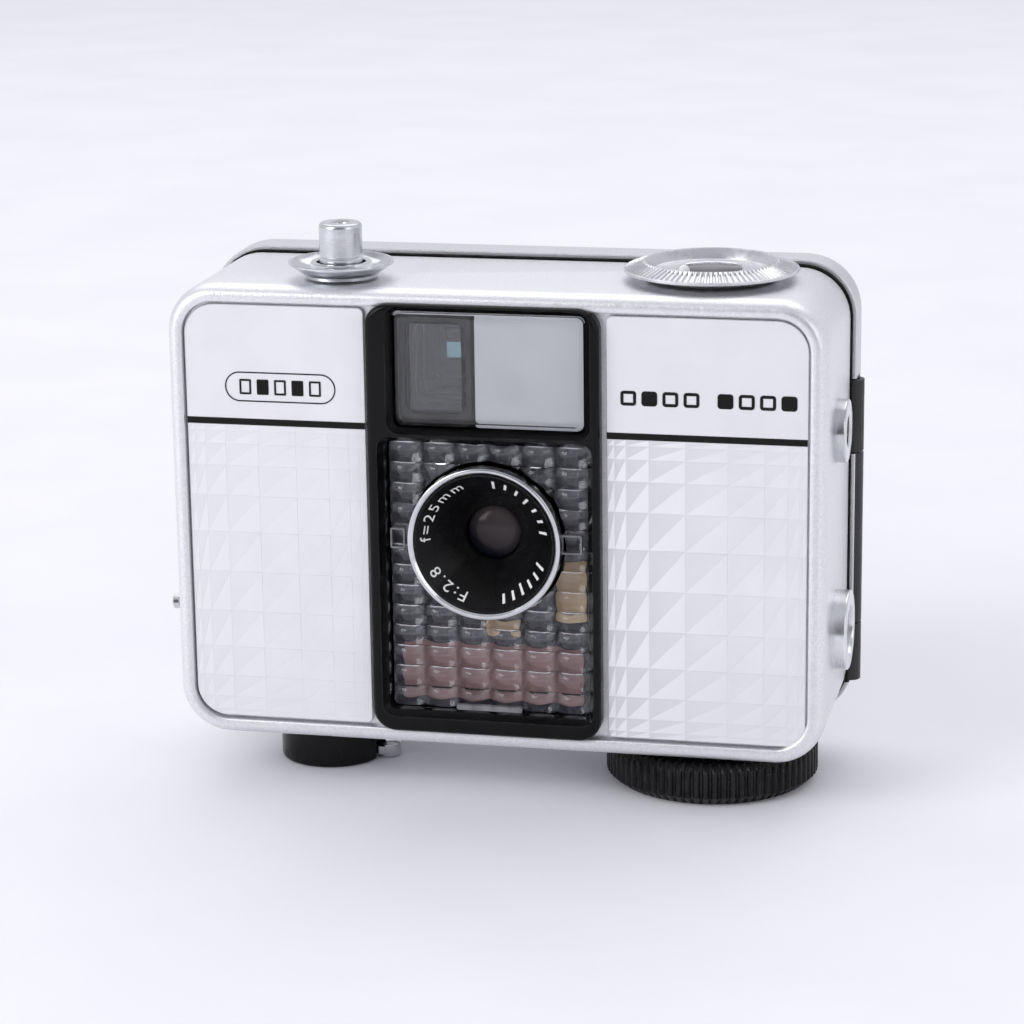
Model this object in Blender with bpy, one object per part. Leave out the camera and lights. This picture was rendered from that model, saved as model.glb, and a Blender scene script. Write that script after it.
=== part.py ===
"""Half frame camera with a spring motor: every separate piece as its own solid.

All sizes below are in millimetres in the camera's own frame: X to the right seen from the
front, Y into the camera from the plane of the two front panels, Z up from their middle.
build() puts each piece into the world in metres, with the camera standing on Z = 0.
"""

import math

import bmesh
import bpy
from mathutils import Matrix, Vector

MM = 0.001
SHIFT = Vector((0.8, -14.95, 36.65))  # from the panels' middle to the world's origin, on the table

# ---- driving dimensions -------------------------------------------------------------------
SHELL_HALF_W = 42.45
SHELL_HALF_H = 29.97
SHELL_FRONT = -0.5
SHELL_REAR = 22.5
SHELL_CORNER = 6.5
SHELL_WALL = 1.1
RIM_ROUND = 1.9

PANEL_HALF_W = 40.0
PANEL_HALF_H = 27.4
PANEL_THICK = 0.45
PANEL_CORNER = 4.0
TIGHT_CORNER = 1.3  # the right panel's lower outer corner
LEFT_PANEL_INNER = -16.37
RIGHT_PANEL_INNER = 14.7

FRAME_LEFT, FRAME_RIGHT = -16.0, 14.0
FRAME_BOTTOM, FRAME_TOP = -27.9, 28.35
FRAME_FRONT, FRAME_REAR = -1.5, 2.6
FRAME_CORNER = 3.0
FINDER_HOLE = (-12.6, 12.2, 12.34, 27.4)
LENS_HOLE = (-13.9, 12.4, -25.1, 10.6)

LENS_X, LENS_Z = -0.86, -2.17
RING_R = 9.95
CELL_HOLE_R = 10.3
GLASS_R = 3.6

CASTING_HALF_W, CASTING_HALF_H = 40.9, 28.4
CASTING_FRONT, FILM_Y = 2.9, 25.2
POCKET_HALF_W = 11.95
POCKET_BACK = 17.3
CASSETTE_LEFT, CASSETTE_RIGHT = -38.5, -12.9
CASSETTE_BOTTOM, CASSETTE_TOP = -24.7, 23.8
SPOOL_LEFT, SPOOL_RIGHT = 17.5, 38.8
SPOOL_BOTTOM, SPOOL_TOP = -25.0, 19.0
GEAR_FLOOR = 20.5
GATE_HALF_W, GATE_HALF_H = 9.0, 12.0

DOOR_HALF_W, DOOR_HALF_H = 43.2, 30.7
DOOR_FRONT, DOOR_REAR = 23.6, 31.0
DOOR_WALL = 1.3
HINGE_X, HINGE_Y, HINGE_R = 42.6, 24.9, 1.5
HINGE_BOTTOM, HINGE_LOW_SPLIT, HINGE_HIGH_SPLIT, HINGE_TOP = -25.7, -17.8, 5.4, 15.0

GROUND = -SHIFT.z
WIND_X, WIND_Y, WIND_R = 25.8, 14.9, 13.9
REWIND_X, REWIND_Y, REWIND_R = -25.7, 14.0, 6.93
KNOB_TOP = -31.1
DIAL_X, DIAL_Y, DIAL_R = 25.85, 13.0, 11.1
BUTTON_X, BUTTON_Y = -20.8, 6.5
SYNC_Y, SYNC_Z = 9.5, 11.7
TRIPOD_Y, TRIPOD_Z = 9.8, -14.5
STUD_Y, STUD_Z = 9.6, -15.1
SPROCKET_X, SPROCKET_Y = 13.8, 20.7
EYE_X, EYE_Z = -7.2, 20.0

GAP = 0.3  # between neighbouring pieces


# ---- shape tools --------------------------------------------------------------------------
def finish(name, bm, pivot=None):
    """Make an object of a mesh in camera millimetres, with its origin at pivot."""
    origin = Vector(pivot) if pivot else Vector((0, 0, 0))
    bmesh.ops.recalc_face_normals(bm, faces=bm.faces)
    if bm.calc_volume(signed=True) < 0:
        bmesh.ops.reverse_faces(bm, faces=bm.faces)
    bmesh.ops.transform(bm, matrix=Matrix.Scale(MM, 4) @ Matrix.Translation(-origin), verts=bm.verts)
    mesh = bpy.data.meshes.new(name)
    bm.to_mesh(mesh)
    bm.free()
    obj = bpy.data.objects.new(name, mesh)
    obj.location = (origin + SHIFT) * MM
    bpy.context.scene.collection.objects.link(obj)
    return obj


def placed(axis, u, v, w):
    """A point from two in-plane values and one along the axis; the plane's order is X, Y, Z."""
    return {"X": (w, u, v), "Y": (u, w, v), "Z": (u, v, w)}[axis]


def prism(name, outline, axis, low, high, pivot=None, top=None):
    """An outline extruded along an axis; top is a second outline that the far end takes."""
    bm = bmesh.new()
    first = [bm.verts.new(placed(axis, u, v, low)) for u, v in outline]
    last = [bm.verts.new(placed(axis, u, v, high)) for u, v in (top or outline)]
    bm.faces.new(first)
    bm.faces.new(reversed(last))
    for i, vert in enumerate(first):
        after = (i + 1) % len(first)
        bm.faces.new((vert, last[i], last[after], first[after]))
    return finish(name, bm, pivot)


def rectangle(u0, u1, v0, v1, radius=0.0, steps=3):
    """The corners of a rectangle, each a quarter circle where a radius is given."""
    if radius <= 0:
        return [(u0, v0), (u1, v0), (u1, v1), (u0, v1)]
    points = []
    centres = ((u1 - radius, v1 - radius), (u0 + radius, v1 - radius),
               (u0 + radius, v0 + radius), (u1 - radius, v0 + radius))
    for corner, (cu, cv) in enumerate(centres):
        for step in range(steps + 1):
            turn = math.pi / 2 * (corner + step / steps)
            points.append((cu + radius * math.cos(turn), cv + radius * math.sin(turn)))
    return points


def circle(cu, cv, radius, sides):
    turns = [2 * math.pi * i / sides for i in range(sides)]
    return [(cu + radius * math.cos(t), cv + radius * math.sin(t)) for t in turns]


def box(name, x, y, z, pivot=None):
    return prism(name, rectangle(*x, *z), "Y", *y, pivot)


def slab(name, area, y, radius=0.0, steps=3, pivot=None):
    """A plate facing the front: area is left, right, bottom, top."""
    return prism(name, rectangle(*area, radius, steps), "Y", *y, pivot)


def rod(name, axis, centre, radius, low, high, sides=16, pivot=None):
    return prism(name, circle(*centre, radius, sides), axis, low, high, pivot)


def turned(name, axis, centre, profile, sides=24, pivot=None):
    """A closed profile of (radius, height) spun about the axis."""
    bm = bmesh.new()
    verts = [bm.verts.new(placed("Z", radius, 0, height)) for radius, height in profile]
    edges = [bm.edges.new((verts[i - 1], verts[i])) for i in range(len(verts))
             if profile[i - 1][0] > 0 or profile[i][0] > 0]
    bmesh.ops.spin(bm, geom=verts + edges, cent=(0, 0, 0), axis=(0, 0, 1), dvec=(0, 0, 0),
                   angle=2 * math.pi, steps=sides, use_merge=True)
    bmesh.ops.remove_doubles(bm, verts=bm.verts, dist=1e-4)
    for vert in bm.verts:
        vert.co = placed(axis, centre[0] + vert.co.x, centre[1] + vert.co.y, vert.co.z)
    return finish(name, bm, pivot)


def helper(obj):
    obj.hide_render = True
    obj.display_type = "WIRE"
    return obj


def cut(obj, *cutters):
    for cutter in cutters:
        boolean = obj.modifiers.new("cut " + cutter.name, "BOOLEAN")
        boolean.operation = "DIFFERENCE"
        boolean.object = helper(cutter)
    return obj


def unite(obj, *others):
    for other in others:
        boolean = obj.modifiers.new("with " + other.name, "BOOLEAN")
        boolean.operation = "UNION"
        boolean.object = helper(other)
    return obj


def bevel(obj, width, segments=2):
    modifier = obj.modifiers.new("edge", "BEVEL")
    modifier.width = width * MM
    modifier.segments = segments
    modifier.angle_limit = math.radians(50)
    return obj


def smooth(obj, angle=35):
    obj.data.shade_smooth()
    obj.data.set_sharp_from_angle(angle=math.radians(angle))
    return obj


def paint(obj, colour, roughness, metallic=0.0, alpha=1.0):
    material = bpy.data.materials.new(obj.name)
    material.use_nodes = True
    shader = material.node_tree.nodes["Principled BSDF"]
    shader.inputs["Base Color"].default_value = (*colour, 1)
    shader.inputs["Roughness"].default_value = roughness
    shader.inputs["Metallic"].default_value = metallic
    shader.inputs["Alpha"].default_value = alpha
    obj.data.materials.append(material)
    return obj


def silver(obj):
    return paint(obj, (0.62, 0.63, 0.66), 0.35, 0.9)


def chrome(obj):
    return paint(obj, (0.75, 0.76, 0.78), 0.15, 1.0)


def steel(obj):
    return paint(obj, (0.45, 0.45, 0.46), 0.35, 1.0)


def brass(obj):
    return paint(obj, (0.70, 0.52, 0.24), 0.3, 1.0)


def black(obj):
    return paint(obj, (0.012, 0.012, 0.013), 0.35)


def clear(obj):
    return paint(obj, (0.85, 0.88, 0.9), 0.05, 0.0, 0.35)


# ---- outer casing -------------------------------------------------------------------------
def front_shell():
    """One drawn aluminium tray: rim, recessed front, and the four walls."""
    half_w, half_h = SHELL_HALF_W, SHELL_HALF_H
    bm = bmesh.new()
    rings = []
    for inset, y in ((RIM_ROUND, SHELL_FRONT), (RIM_ROUND * 0.3, SHELL_FRONT + RIM_ROUND * 0.3),
                     (0, SHELL_FRONT + RIM_ROUND), (0, SHELL_REAR)):
        outline = rectangle(-half_w + inset, half_w - inset, -half_h + inset, half_h - inset,
                            SHELL_CORNER - inset, 5)
        rings.append([bm.verts.new((u, y, v)) for u, v in outline])
    for low, high in zip(rings, rings[1:]):
        for i in range(len(low)):
            after = (i + 1) % len(low)
            bm.faces.new((low[i], high[i], high[after], low[after]))
    bm.faces.new(rings[0])
    bm.faces.new(reversed(rings[-1]))
    shell = finish("front_shell", bm)
    inner_w, inner_h = half_w - SHELL_WALL, half_h - SHELL_WALL
    panel_floor = PANEL_THICK + GAP
    reach = 5
    cut(shell,
        slab("shell_inside", (-inner_w, inner_w, -inner_h, inner_h),
             (panel_floor + 0.6, SHELL_REAR + reach), SHELL_CORNER - SHELL_WALL, 5),
        slab("shell_front_recess", (-PANEL_HALF_W - GAP, PANEL_HALF_W + GAP, -PANEL_HALF_H - GAP,
             PANEL_HALF_H + GAP), (SHELL_FRONT - reach, panel_floor), PANEL_CORNER + GAP, 5),
        slab("shell_tight_corner", (PANEL_HALF_W - 10, PANEL_HALF_W + GAP, -PANEL_HALF_H - GAP,
             10 - PANEL_HALF_H), (SHELL_FRONT - reach, panel_floor), TIGHT_CORNER + GAP, 3),
        slab("shell_frame_hole", (FRAME_LEFT - GAP, FRAME_RIGHT + GAP, FRAME_BOTTOM - GAP,
             FRAME_TOP + GAP), (SHELL_FRONT - reach, CASTING_FRONT), FRAME_CORNER + GAP, 4),
        rod("shell_button_hole", "Z", (BUTTON_X, BUTTON_Y), 3.1, inner_h - 1, half_h + 1),
        rod("shell_dial_hole", "Z", (DIAL_X, DIAL_Y), 5.0, inner_h - 1, half_h + 1, 20),
        rod("shell_winding_hole", "Z", (WIND_X, WIND_Y), 3.6, -half_h - 1, 1 - inner_h),
        rod("shell_rewind_hole", "Z", (REWIND_X, REWIND_Y), 3.0, -half_h - 1, 1 - inner_h),
        rod("shell_sync_hole", "X", (SYNC_Y, SYNC_Z), 2.7, inner_w - 1, half_w + 1),
        rod("shell_tripod_hole", "X", (TRIPOD_Y, TRIPOD_Z), 4.9, inner_w - 1, half_w + 1, 20),
        rod("shell_stud_hole", "X", (STUD_Y, STUD_Z), 1.2, -half_w - 1, 1 - inner_w, 12))
    return silver(smooth(shell))


def front_panels():
    """Two thin brushed plates, each from the rim to its edge beside the black frame."""
    edge = PANEL_THICK
    left = slab("left_panel", (-PANEL_HALF_W, LEFT_PANEL_INNER, -PANEL_HALF_H, PANEL_HALF_H), (0, edge))
    cut(left, corner_cutter("left_panel_top", -1, 1, PANEL_CORNER),
        corner_cutter("left_panel_bottom", -1, -1, PANEL_CORNER))
    right = slab("right_panel", (RIGHT_PANEL_INNER, PANEL_HALF_W, -PANEL_HALF_H, PANEL_HALF_H), (0, edge))
    cut(right, corner_cutter("right_panel_top", 1, 1, PANEL_CORNER),
        corner_cutter("right_panel_bottom", 1, -1, TIGHT_CORNER))
    silver(left)
    silver(right)


def corner_cutter(name, side_x, side_z, radius):
    """What a quarter round takes off one corner of a panel."""
    far_x, far_z = side_x * (PANEL_HALF_W + 1), side_z * (PANEL_HALF_H + 1)
    centre_x = side_x * (PANEL_HALF_W - radius)
    centre_z = side_z * (PANEL_HALF_H - radius)
    arc = [(centre_x + side_x * radius * math.sin(t), centre_z + side_z * radius * math.cos(t))
           for t in (math.pi / 2 * i / 5 for i in range(6))]
    outline = [(centre_x, far_z), *arc, (far_x, centre_z), (far_x, far_z)]
    return prism(name, outline, "Y", -1, PANEL_THICK + 1)


def centre_frame():
    area = (FRAME_LEFT, FRAME_RIGHT, FRAME_BOTTOM, FRAME_TOP)
    frame = slab("centre_frame", area, (FRAME_FRONT, FRAME_REAR), FRAME_CORNER, 4)
    bevel(frame, 0.5, 1)
    depth = (FRAME_FRONT - 1, FRAME_REAR + 1)
    cut(frame, slab("frame_finder_hole", FINDER_HOLE, depth, 0.8, 2),
        slab("frame_lens_hole", LENS_HOLE, depth, 0.8, 2))
    black(smooth(frame))


def inset_area(area, by):
    left, right, bottom, top = area
    return (left + by, right - by, bottom + by, top - by)


# ---- finder -------------------------------------------------------------------------------
def finder():
    outer = inset_area(FINDER_HOLE, GAP)
    clear(bevel(slab("finder_window", outer, (-0.9, 0.9), 0.6, 2), 0.5, 1))
    left, right, bottom, top = outer
    plate = slab("finder_light_plate", (-2.2, right - GAP, bottom + GAP, top - GAP), (1.25, 2.1))
    paint(plate, (0.55, 0.56, 0.62), 0.5)
    front = rectangle(left + GAP, -2.7, bottom + GAP, top - GAP, 1.2, 2)
    back = rectangle(EYE_X - 2.6, EYE_X + 2.6, EYE_Z - 2.6, EYE_Z + 2.6, 0.6, 2)
    funnel = prism("finder_tunnel", front, "Y", 1.25, POCKET_BACK - GAP, top=back)
    wall = 0.7
    hollow_front = rectangle(left + GAP + wall, -2.7 - wall, bottom + GAP + wall, top - GAP - wall, 0.8, 2)
    hollow_back = rectangle(EYE_X - 1.9, EYE_X + 1.9, EYE_Z - 1.9, EYE_Z + 1.9, 0.4, 2)
    cut(funnel, prism("tunnel_hollow", hollow_front, "Y", 1.15, POCKET_BACK, top=hollow_back))
    paint(funnel, (0.05, 0.045, 0.045), 0.4)
    lens_area = (left + 1.6, -4.0, bottom + 1.6, top - 1.6)
    clear(slab("finder_front_lens", lens_area, (1.6, 2.4)))


def eyepiece():
    """Rides on the door: a black frame with its own small lens."""
    frame = slab("eyepiece_frame", (EYE_X - 4.4, EYE_X + 4.4, EYE_Z - 3.8, EYE_Z + 3.8), (31.3, 31.9), 1, 2)
    plug = slab("eyepiece_plug", (EYE_X - 3.1, EYE_X + 3.1, EYE_Z - 2.9, EYE_Z + 2.9), (29.0, 31.6))
    hole = slab("eyepiece_hole", (EYE_X - 2.3, EYE_X + 2.3, EYE_Z - 2.1, EYE_Z + 2.1), (28, 33))
    black(cut(unite(frame, plug), hole))
    clear(slab("eyepiece_lens", (EYE_X - 2, EYE_X + 2, EYE_Z - 1.8, EYE_Z + 1.8), (30.1, 31.1)))


# ---- light meter --------------------------------------------------------------------------
LENS_COLUMNS, LENS_ROWS = 6, 13


def lens_array():
    """The moulded window over the cell: a grid of small raised lenses around the camera lens."""
    left, right, bottom, top = inset_area(LENS_HOLE, GAP)
    bm = bmesh.new()
    back, low, high = 1.6, 0.2, -0.5
    columns, rows = LENS_COLUMNS, LENS_ROWS
    grid = [[bm.verts.new((left + (right - left) * i / columns, low, bottom + (top - bottom) * j / rows))
             for j in range(rows + 1)] for i in range(columns + 1)]
    for i in range(columns):
        for j in range(rows):
            corners = (grid[i][j], grid[i + 1][j], grid[i + 1][j + 1], grid[i][j + 1])
            middle = sum((corner.co for corner in corners), Vector()) / 4
            crown = bm.verts.new((middle.x, high, middle.z))
            for first, second in zip(corners, corners[1:] + corners[:1]):
                bm.faces.new((first, second, crown))
    border = ([grid[i][0] for i in range(columns)] + [grid[columns][j] for j in range(rows)]
              + [grid[i][rows] for i in range(columns, 0, -1)] + [grid[0][j] for j in range(rows, 0, -1)])
    lower = [bm.verts.new((vert.co.x, back, vert.co.z)) for vert in border]
    for i, vert in enumerate(border):
        after = (i + 1) % len(border)
        bm.faces.new((vert, border[after], lower[after], lower[i]))
    bm.faces.new(lower)
    window = finish("lens_array_window", bm)
    clear(cut(window, rod("array_hole", "Y", (LENS_X, LENS_Z), CELL_HOLE_R, -2, 3, 32)))


METER_X, METER_Z, METER_R = LENS_X, -20.5, 5.4


def light_meter():
    cell = slab("selenium_cell", inset_area(LENS_HOLE, GAP), (1.95, 2.5))
    cut(cell, rod("cell_hole", "Y", (LENS_X, LENS_Z), CELL_HOLE_R, 1, 4, 32))
    paint(cell, (0.09, 0.08, 0.085), 0.3)
    meter = rod("meter_movement", "Y", (METER_X, METER_Z), METER_R, 3.3, 10.6, 20)
    unite(meter, rod("meter_pivot", "Y", (METER_X, METER_Z), 0.5, 10.4, 11.9, 8))
    steel(smooth(meter))
    pivot = (METER_X, 11.5, METER_Z)
    needle = rod("meter_needle", "Y", (METER_X, METER_Z), 1.3, 11.2, 11.6, 12, pivot)
    pointer = box("needle_pointer", (METER_X - 0.4, METER_X + 0.4), (11.2, 11.6),
                  (METER_Z, METER_Z + 7.6))
    cut(unite(needle, pointer), rod("needle_hole", "Y", (METER_X, METER_Z), 0.7, 11, 12, 8))
    brass(needle)


# ---- lens and shutter ---------------------------------------------------------------------
def lens_parts():
    centre = (LENS_X, LENS_Z)
    ring = turned("lens_ring", "Y", centre,
                  [(9.35, -0.4), (RING_R, -0.4), (RING_R, -1.8), (9.75, -2.0), (9.35, -2.0)], 40)
    chrome(smooth(ring))
    cone = [(9.1, 5.2), (9.1, -1.75), (8.9, -1.85), (GLASS_R + 0.25, 3.9), (GLASS_R, 4.4), (GLASS_R, 5.2)]
    black(smooth(turned("lens_cone", "Y", centre, cone, 32)))
    crowned = [(0, 4.75), (2.0, 4.95), (3.3, 5.45), (5.0, 5.5), (5.0, 7.1), (0, 7.1)]
    clear(smooth(turned("front_element", "Y", centre, crowned, 24)))
    hollow = [(0, 8.0), (4.6, 7.5), (4.6, 9.2), (0, 8.7)]
    clear(smooth(turned("middle_element", "Y", centre, hollow, 24)))
    rear = [(0, 9.9), (4.8, 10.2), (4.8, 11.6), (0, 12.4)]
    clear(smooth(turned("rear_element", "Y", centre, rear, 24)))
    barrel = [(5.3, 5.55), (9.0, 5.55), (9.0, 13.0), (5.3, 13.0)]
    black(smooth(turned("lens_barrel", "Y", centre, barrel, 24)))


BLADE_PIVOT_X, BLADE_PIVOT_Z = 6.8, -7.0
SHUTTER_R, APERTURE_R = 10.5, 4.3


def shutter():
    centre = (LENS_X, LENS_Z)
    housing = turned("shutter_housing", "Y", centre,
                     [(APERTURE_R, 13.35), (SHUTTER_R, 13.35), (SHUTTER_R, 14.2), (APERTURE_R, 14.2)], 28)
    pins = [rod(f"blade_pin_{side}", "Y", (LENS_X + side * BLADE_PIVOT_X, LENS_Z + BLADE_PIVOT_Z),
                0.6, 13.8, 15.9, 8) for side in (-1, 1)]
    black(unite(housing, *pins))
    cover = turned("shutter_cover", "Y", centre,
                   [(APERTURE_R, 16.15), (SHUTTER_R, 16.15), (SHUTTER_R, 16.9), (APERTURE_R, 16.9)], 28)
    black(cover)
    for side, name, y in ((-1, "shutter_blade_left", 14.5), (1, "shutter_blade_right", 15.2)):
        pivot_x, pivot_z = LENS_X + side * BLADE_PIVOT_X, LENS_Z + BLADE_PIVOT_Z
        outer = [(LENS_X - side * 1.0, LENS_Z - 4.9), (LENS_X - side * 1.0, LENS_Z + 4.9),
                 (LENS_X + side * 3.0, LENS_Z + 5.2), (LENS_X + side * 5.2, LENS_Z + 2.0),
                 (pivot_x + side * 0.4, pivot_z + 1.4), (pivot_x + side * 0.4, pivot_z - 1.2),
                 (pivot_x - side * 1.4, pivot_z - 1.2)]
        blade = prism(name, outer, "Y", y, y + 0.35, (pivot_x, y, pivot_z))
        steel(cut(blade, rod(name + "_hole", "Y", (pivot_x, pivot_z), 0.85, y - 1, y + 1, 8)))


# ---- main casting -------------------------------------------------------------------------
def main_casting():
    """The die-cast body: cassette chamber, lens pocket, film gate and take-up chamber."""
    w, h = CASTING_HALF_W, CASTING_HALF_H
    casting = slab("main_casting", (-w, w, -h, h), (CASTING_FRONT, FILM_Y), 5.0, 3)
    through = (CASTING_FRONT - 1, FILM_Y + 1)
    gate = (LENS_X - GATE_HALF_W, LENS_X + GATE_HALF_W, LENS_Z - GATE_HALF_H, LENS_Z + GATE_HALF_H)
    cut(casting,
        slab("cassette_space", (CASSETTE_LEFT, CASSETTE_RIGHT, CASSETTE_BOTTOM, CASSETTE_TOP), through),
        slab("spool_space", (SPOOL_LEFT, SPOOL_RIGHT, SPOOL_BOTTOM, SPOOL_TOP), through),
        slab("lens_pocket", (-POCKET_HALF_W, POCKET_HALF_W, -26.2, 27.3), (0, POCKET_BACK)),
        slab("gate_hole", gate, through),
        slab("eye_hole", (EYE_X - 2.6, EYE_X + 2.6, EYE_Z - 2.6, EYE_Z + 2.6), through),
        box("gear_bay", (12.95, 39.2), (5.0, 24.0), (GEAR_FLOOR, h + 1)),
        box("sprocket_gear_bay", (6.9, 20.6), (13.9, FILM_Y + 1), (GEAR_FLOOR - 0.1, h + 2)),
        rod("spool_neck_bore", "Z", (WIND_X, WIND_Y), 3.4, SPOOL_TOP - 1, GEAR_FLOOR + 1),
        rod("winding_bore", "Z", (WIND_X, WIND_Y), 3.3, -h - 1, SPOOL_BOTTOM + 1),
        rod("rewind_bore", "Z", (REWIND_X, REWIND_Y), 2.8, -h - 1, CASSETTE_BOTTOM + 1),
        rod("sprocket_bore", "Z", (SPROCKET_X, SPROCKET_Y), 1.5, -19.4, GEAR_FLOOR + 1, 12),
        rod("sprocket_pocket", "Z", (SPROCKET_X, SPROCKET_Y), 6.2, -19.2, -14.7, 20),
        box("release_channel", (-23.6, -12.2), (4.9, 8.1), (24.3, h + 1)),
        rod("tripod_bore", "X", (TRIPOD_Y, TRIPOD_Z), 4.9, SPOOL_RIGHT - 1, w + 1, 20),
        rod("sync_bore", "X", (SYNC_Y, SYNC_Z), 2.7, SPOOL_RIGHT - 1, w + 1),
        rod("stud_bore", "X", (STUD_Y, STUD_Z), 1.2, -w - 1, CASSETTE_LEFT + 1, 12),
        box("leaf_recess", (39.8, w + 1), (18.2, FILM_Y + 1), (HINGE_BOTTOM - 0.4, HINGE_TOP + 0.4)),
        *[rod(f"screw_seat_{i}", "Y", (x, z), 2.0, 22.6, FILM_Y + 1) for i, (x, z) in enumerate(SCREWS)])
    paint(casting, (0.02, 0.02, 0.021), 0.55)


SCREWS = ((11.5, -24.2), (-1.0, 22.5))


def casting_screws():
    for i, (x, z) in enumerate(SCREWS):
        screw = rod(f"casting_screw_{i + 1}", "Y", (x, z), 1.7, 22.9, 24.6, 16)
        steel(cut(screw, box(f"screw_slot_{i}", (x - 2, x + 2), (24.1, 25), (z - 0.3, z + 0.3))))


# ---- top: button and dial -----------------------------------------------------------------
def shutter_button():
    centre = (BUTTON_X, BUTTON_Y)
    dish = [(3.15, 30.3), (5.35, 30.3), (6.3, 31.3), (6.75, 31.6), (6.75, 32.3), (6.4, 32.3),
            (5.2, 31.2), (3.8, 31.1), (3.8, 32.2), (3.15, 32.2)]
    chrome(smooth(turned("button_dish", "Z", centre, dish, 32)))
    stem = 1.2
    button = [(0, 28.3), (stem, 28.3), (stem, 31.0), (2.75, 31.0), (2.75, 36.7), (2.3, 37.2),
              (1.0, 37.2), (1.0, 34.0), (0, 34.0)]
    chrome(smooth(turned("shutter_button", "Z", centre, button, 24, (*centre, 31.0))))
    bar = box("release_bar", (-22.8, -13.2), (5.3, 7.7), (27.1, 28.0), (*centre, 27.5))
    steel(bar)
    steel(coil("button_spring", centre, 1.5, 0.16, 24.5, 26.8, 2.5, 10))


def coil(name, centre, radius, wire, low, high, turns, steps):
    """A round wire wound about a vertical axis."""
    curve = bpy.data.curves.new(name, "CURVE")
    curve.dimensions = "3D"
    curve.bevel_depth = wire * MM
    curve.bevel_resolution = 0
    curve.use_fill_caps = True
    count = int(turns * steps) + 1
    spline = curve.splines.new("POLY")
    spline.points.add(count - 1)
    for i in range(count):
        turn = 2 * math.pi * i / steps
        height = low + wire + (high - low - 2 * wire) * i / (count - 1)
        spline.points[i].co = (radius * MM * math.cos(turn), radius * MM * math.sin(turn), height * MM, 1)
    obj = bpy.data.objects.new(name, curve)
    obj.location = (Vector((*centre, 0)) + SHIFT) * MM
    bpy.context.scene.collection.objects.link(obj)
    return obj


def top_dial():
    centre = (DIAL_X, DIAL_Y)
    dial = [(4.3, 30.3), (8.5, 30.3), (9.0, 31.0), (DIAL_R, 31.05), (DIAL_R, 31.5), (8.5, 32.4),
            (8.1, 32.2), (4.6, 31.2), (4.3, 31.2)]
    chrome(smooth(turned("aperture_dial", "Z", centre, dial, 48, (*centre, 31.0))))
    hub = [(3.2, 26.6), (3.95, 26.6), (3.95, 30.6), (3.2, 30.6)]
    brass(smooth(turned("dial_hub", "Z", centre, hub, 20)))
    window = rod("counter_window", "Z", centre, 3.9, 30.95, 31.4, 24)
    paint(window, (0.08, 0.08, 0.09), 0.1)
    disc = rod("counter_disc", "Z", centre, 2.9, 29.9, 30.4, 20, (*centre, 30.0))
    unite(disc, rod("counter_post", "Z", centre, 0.8, 25.6, 30.1, 10))
    paint(disc, (0.7, 0.7, 0.7), 0.5)
    pin = turned("dial_index", "Z", (DIAL_X - 2.6, DIAL_Y - 5.4),
                 [(0, 31.95), (0.7, 31.95), (0.6, 32.4), (0, 32.7)], 12)
    paint(pin, (0.8, 0.8, 0.8), 0.3)


# ---- film drive ---------------------------------------------------------------------------
MODULE = 0.6665
SPOOL_TEETH, SPROCKET_TEETH = 22, 18


def gear_outline(cu, cv, teeth, phase):
    """Straight-sided teeth, thinner than their gaps so that a pair turns freely."""
    pitch_r = MODULE * teeth / 2
    outer, root = pitch_r + 0.75 * MODULE, pitch_r - 1.15 * MODULE
    pitch = 2 * math.pi / teeth
    points = []
    for tooth in range(teeth):
        middle = phase + tooth * pitch
        for half, radius in ((-0.24, root), (-0.10, outer), (0.10, outer), (0.24, root)):
            turn = middle + half * pitch
            points.append((cu + radius * math.cos(turn), cv + radius * math.sin(turn)))
    return points


def film_drive():
    spool_axis, sprocket_axis = (WIND_X, WIND_Y), (SPROCKET_X, SPROCKET_Y)
    spool = [(6.1, -22.0), (7.5, -22.0), (7.5, -20.6), (6.7, -20.6), (6.7, 17.0), (7.5, 17.0),
             (7.5, 18.4), (3.0, 18.4), (3.0, 24.2), (2.2, 24.2), (2.2, 17.0), (6.1, 17.0)]
    spool = turned("takeup_spool", "Z", spool_axis, spool, 24, (*spool_axis, 0))
    slot = box("film_slot", (WIND_X - 12, WIND_X), (WIND_Y - 0.7, WIND_Y + 0.7), (-14, 10))
    black(cut(smooth(spool), slot))
    shaft = [(0, KNOB_TOP + GAP), (3.0, KNOB_TOP + GAP), (3.0, -23.0), (1.9, -23.0), (1.9, 24.4), (0, 24.4)]
    steel(smooth(turned("winding_shaft", "Z", spool_axis, shaft, 16, (*spool_axis, 0))))
    mainspring(spool_axis)

    towards = math.atan2(SPROCKET_Y - WIND_Y, SPROCKET_X - WIND_X)
    drive = prism("spool_gear", gear_outline(*spool_axis, SPOOL_TEETH, towards), "Z", 21.0, 22.6,
                  (*spool_axis, 0))
    brass(cut(drive, rod("spool_gear_bore", "Z", spool_axis, 3.3, 20, 24)))
    half_pitch = math.pi / SPROCKET_TEETH
    driven = prism("sprocket_gear",
                   gear_outline(*sprocket_axis, SPROCKET_TEETH, towards + math.pi + half_pitch),
                   "Z", 21.1, 22.5, (*sprocket_axis, 0))
    brass(cut(driven, rod("sprocket_gear_bore", "Z", sprocket_axis, 1.5, 20, 24, 12)))

    sprocket = prism("film_sprocket", sprocket_outline(*sprocket_axis), "Z", -18.4, -15.4,
                     (*sprocket_axis, 0))
    steel(unite(sprocket, rod("sprocket_shaft", "Z", sprocket_axis, 1.2, -16, 23.2, 12)))


def sprocket_outline(cu, cv):
    """Six teeth, one for each film perforation it carries round."""
    points = []
    for tooth in range(6):
        middle = tooth * math.pi / 3
        for half, radius in ((-0.32, 4.5), (-0.13, 4.5), (-0.06, 5.3), (0.06, 5.3), (0.13, 4.5), (0.32, 4.5)):
            turn = middle + half
            points.append((cu + radius * math.cos(turn), cv + radius * math.sin(turn)))
    return points


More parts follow.
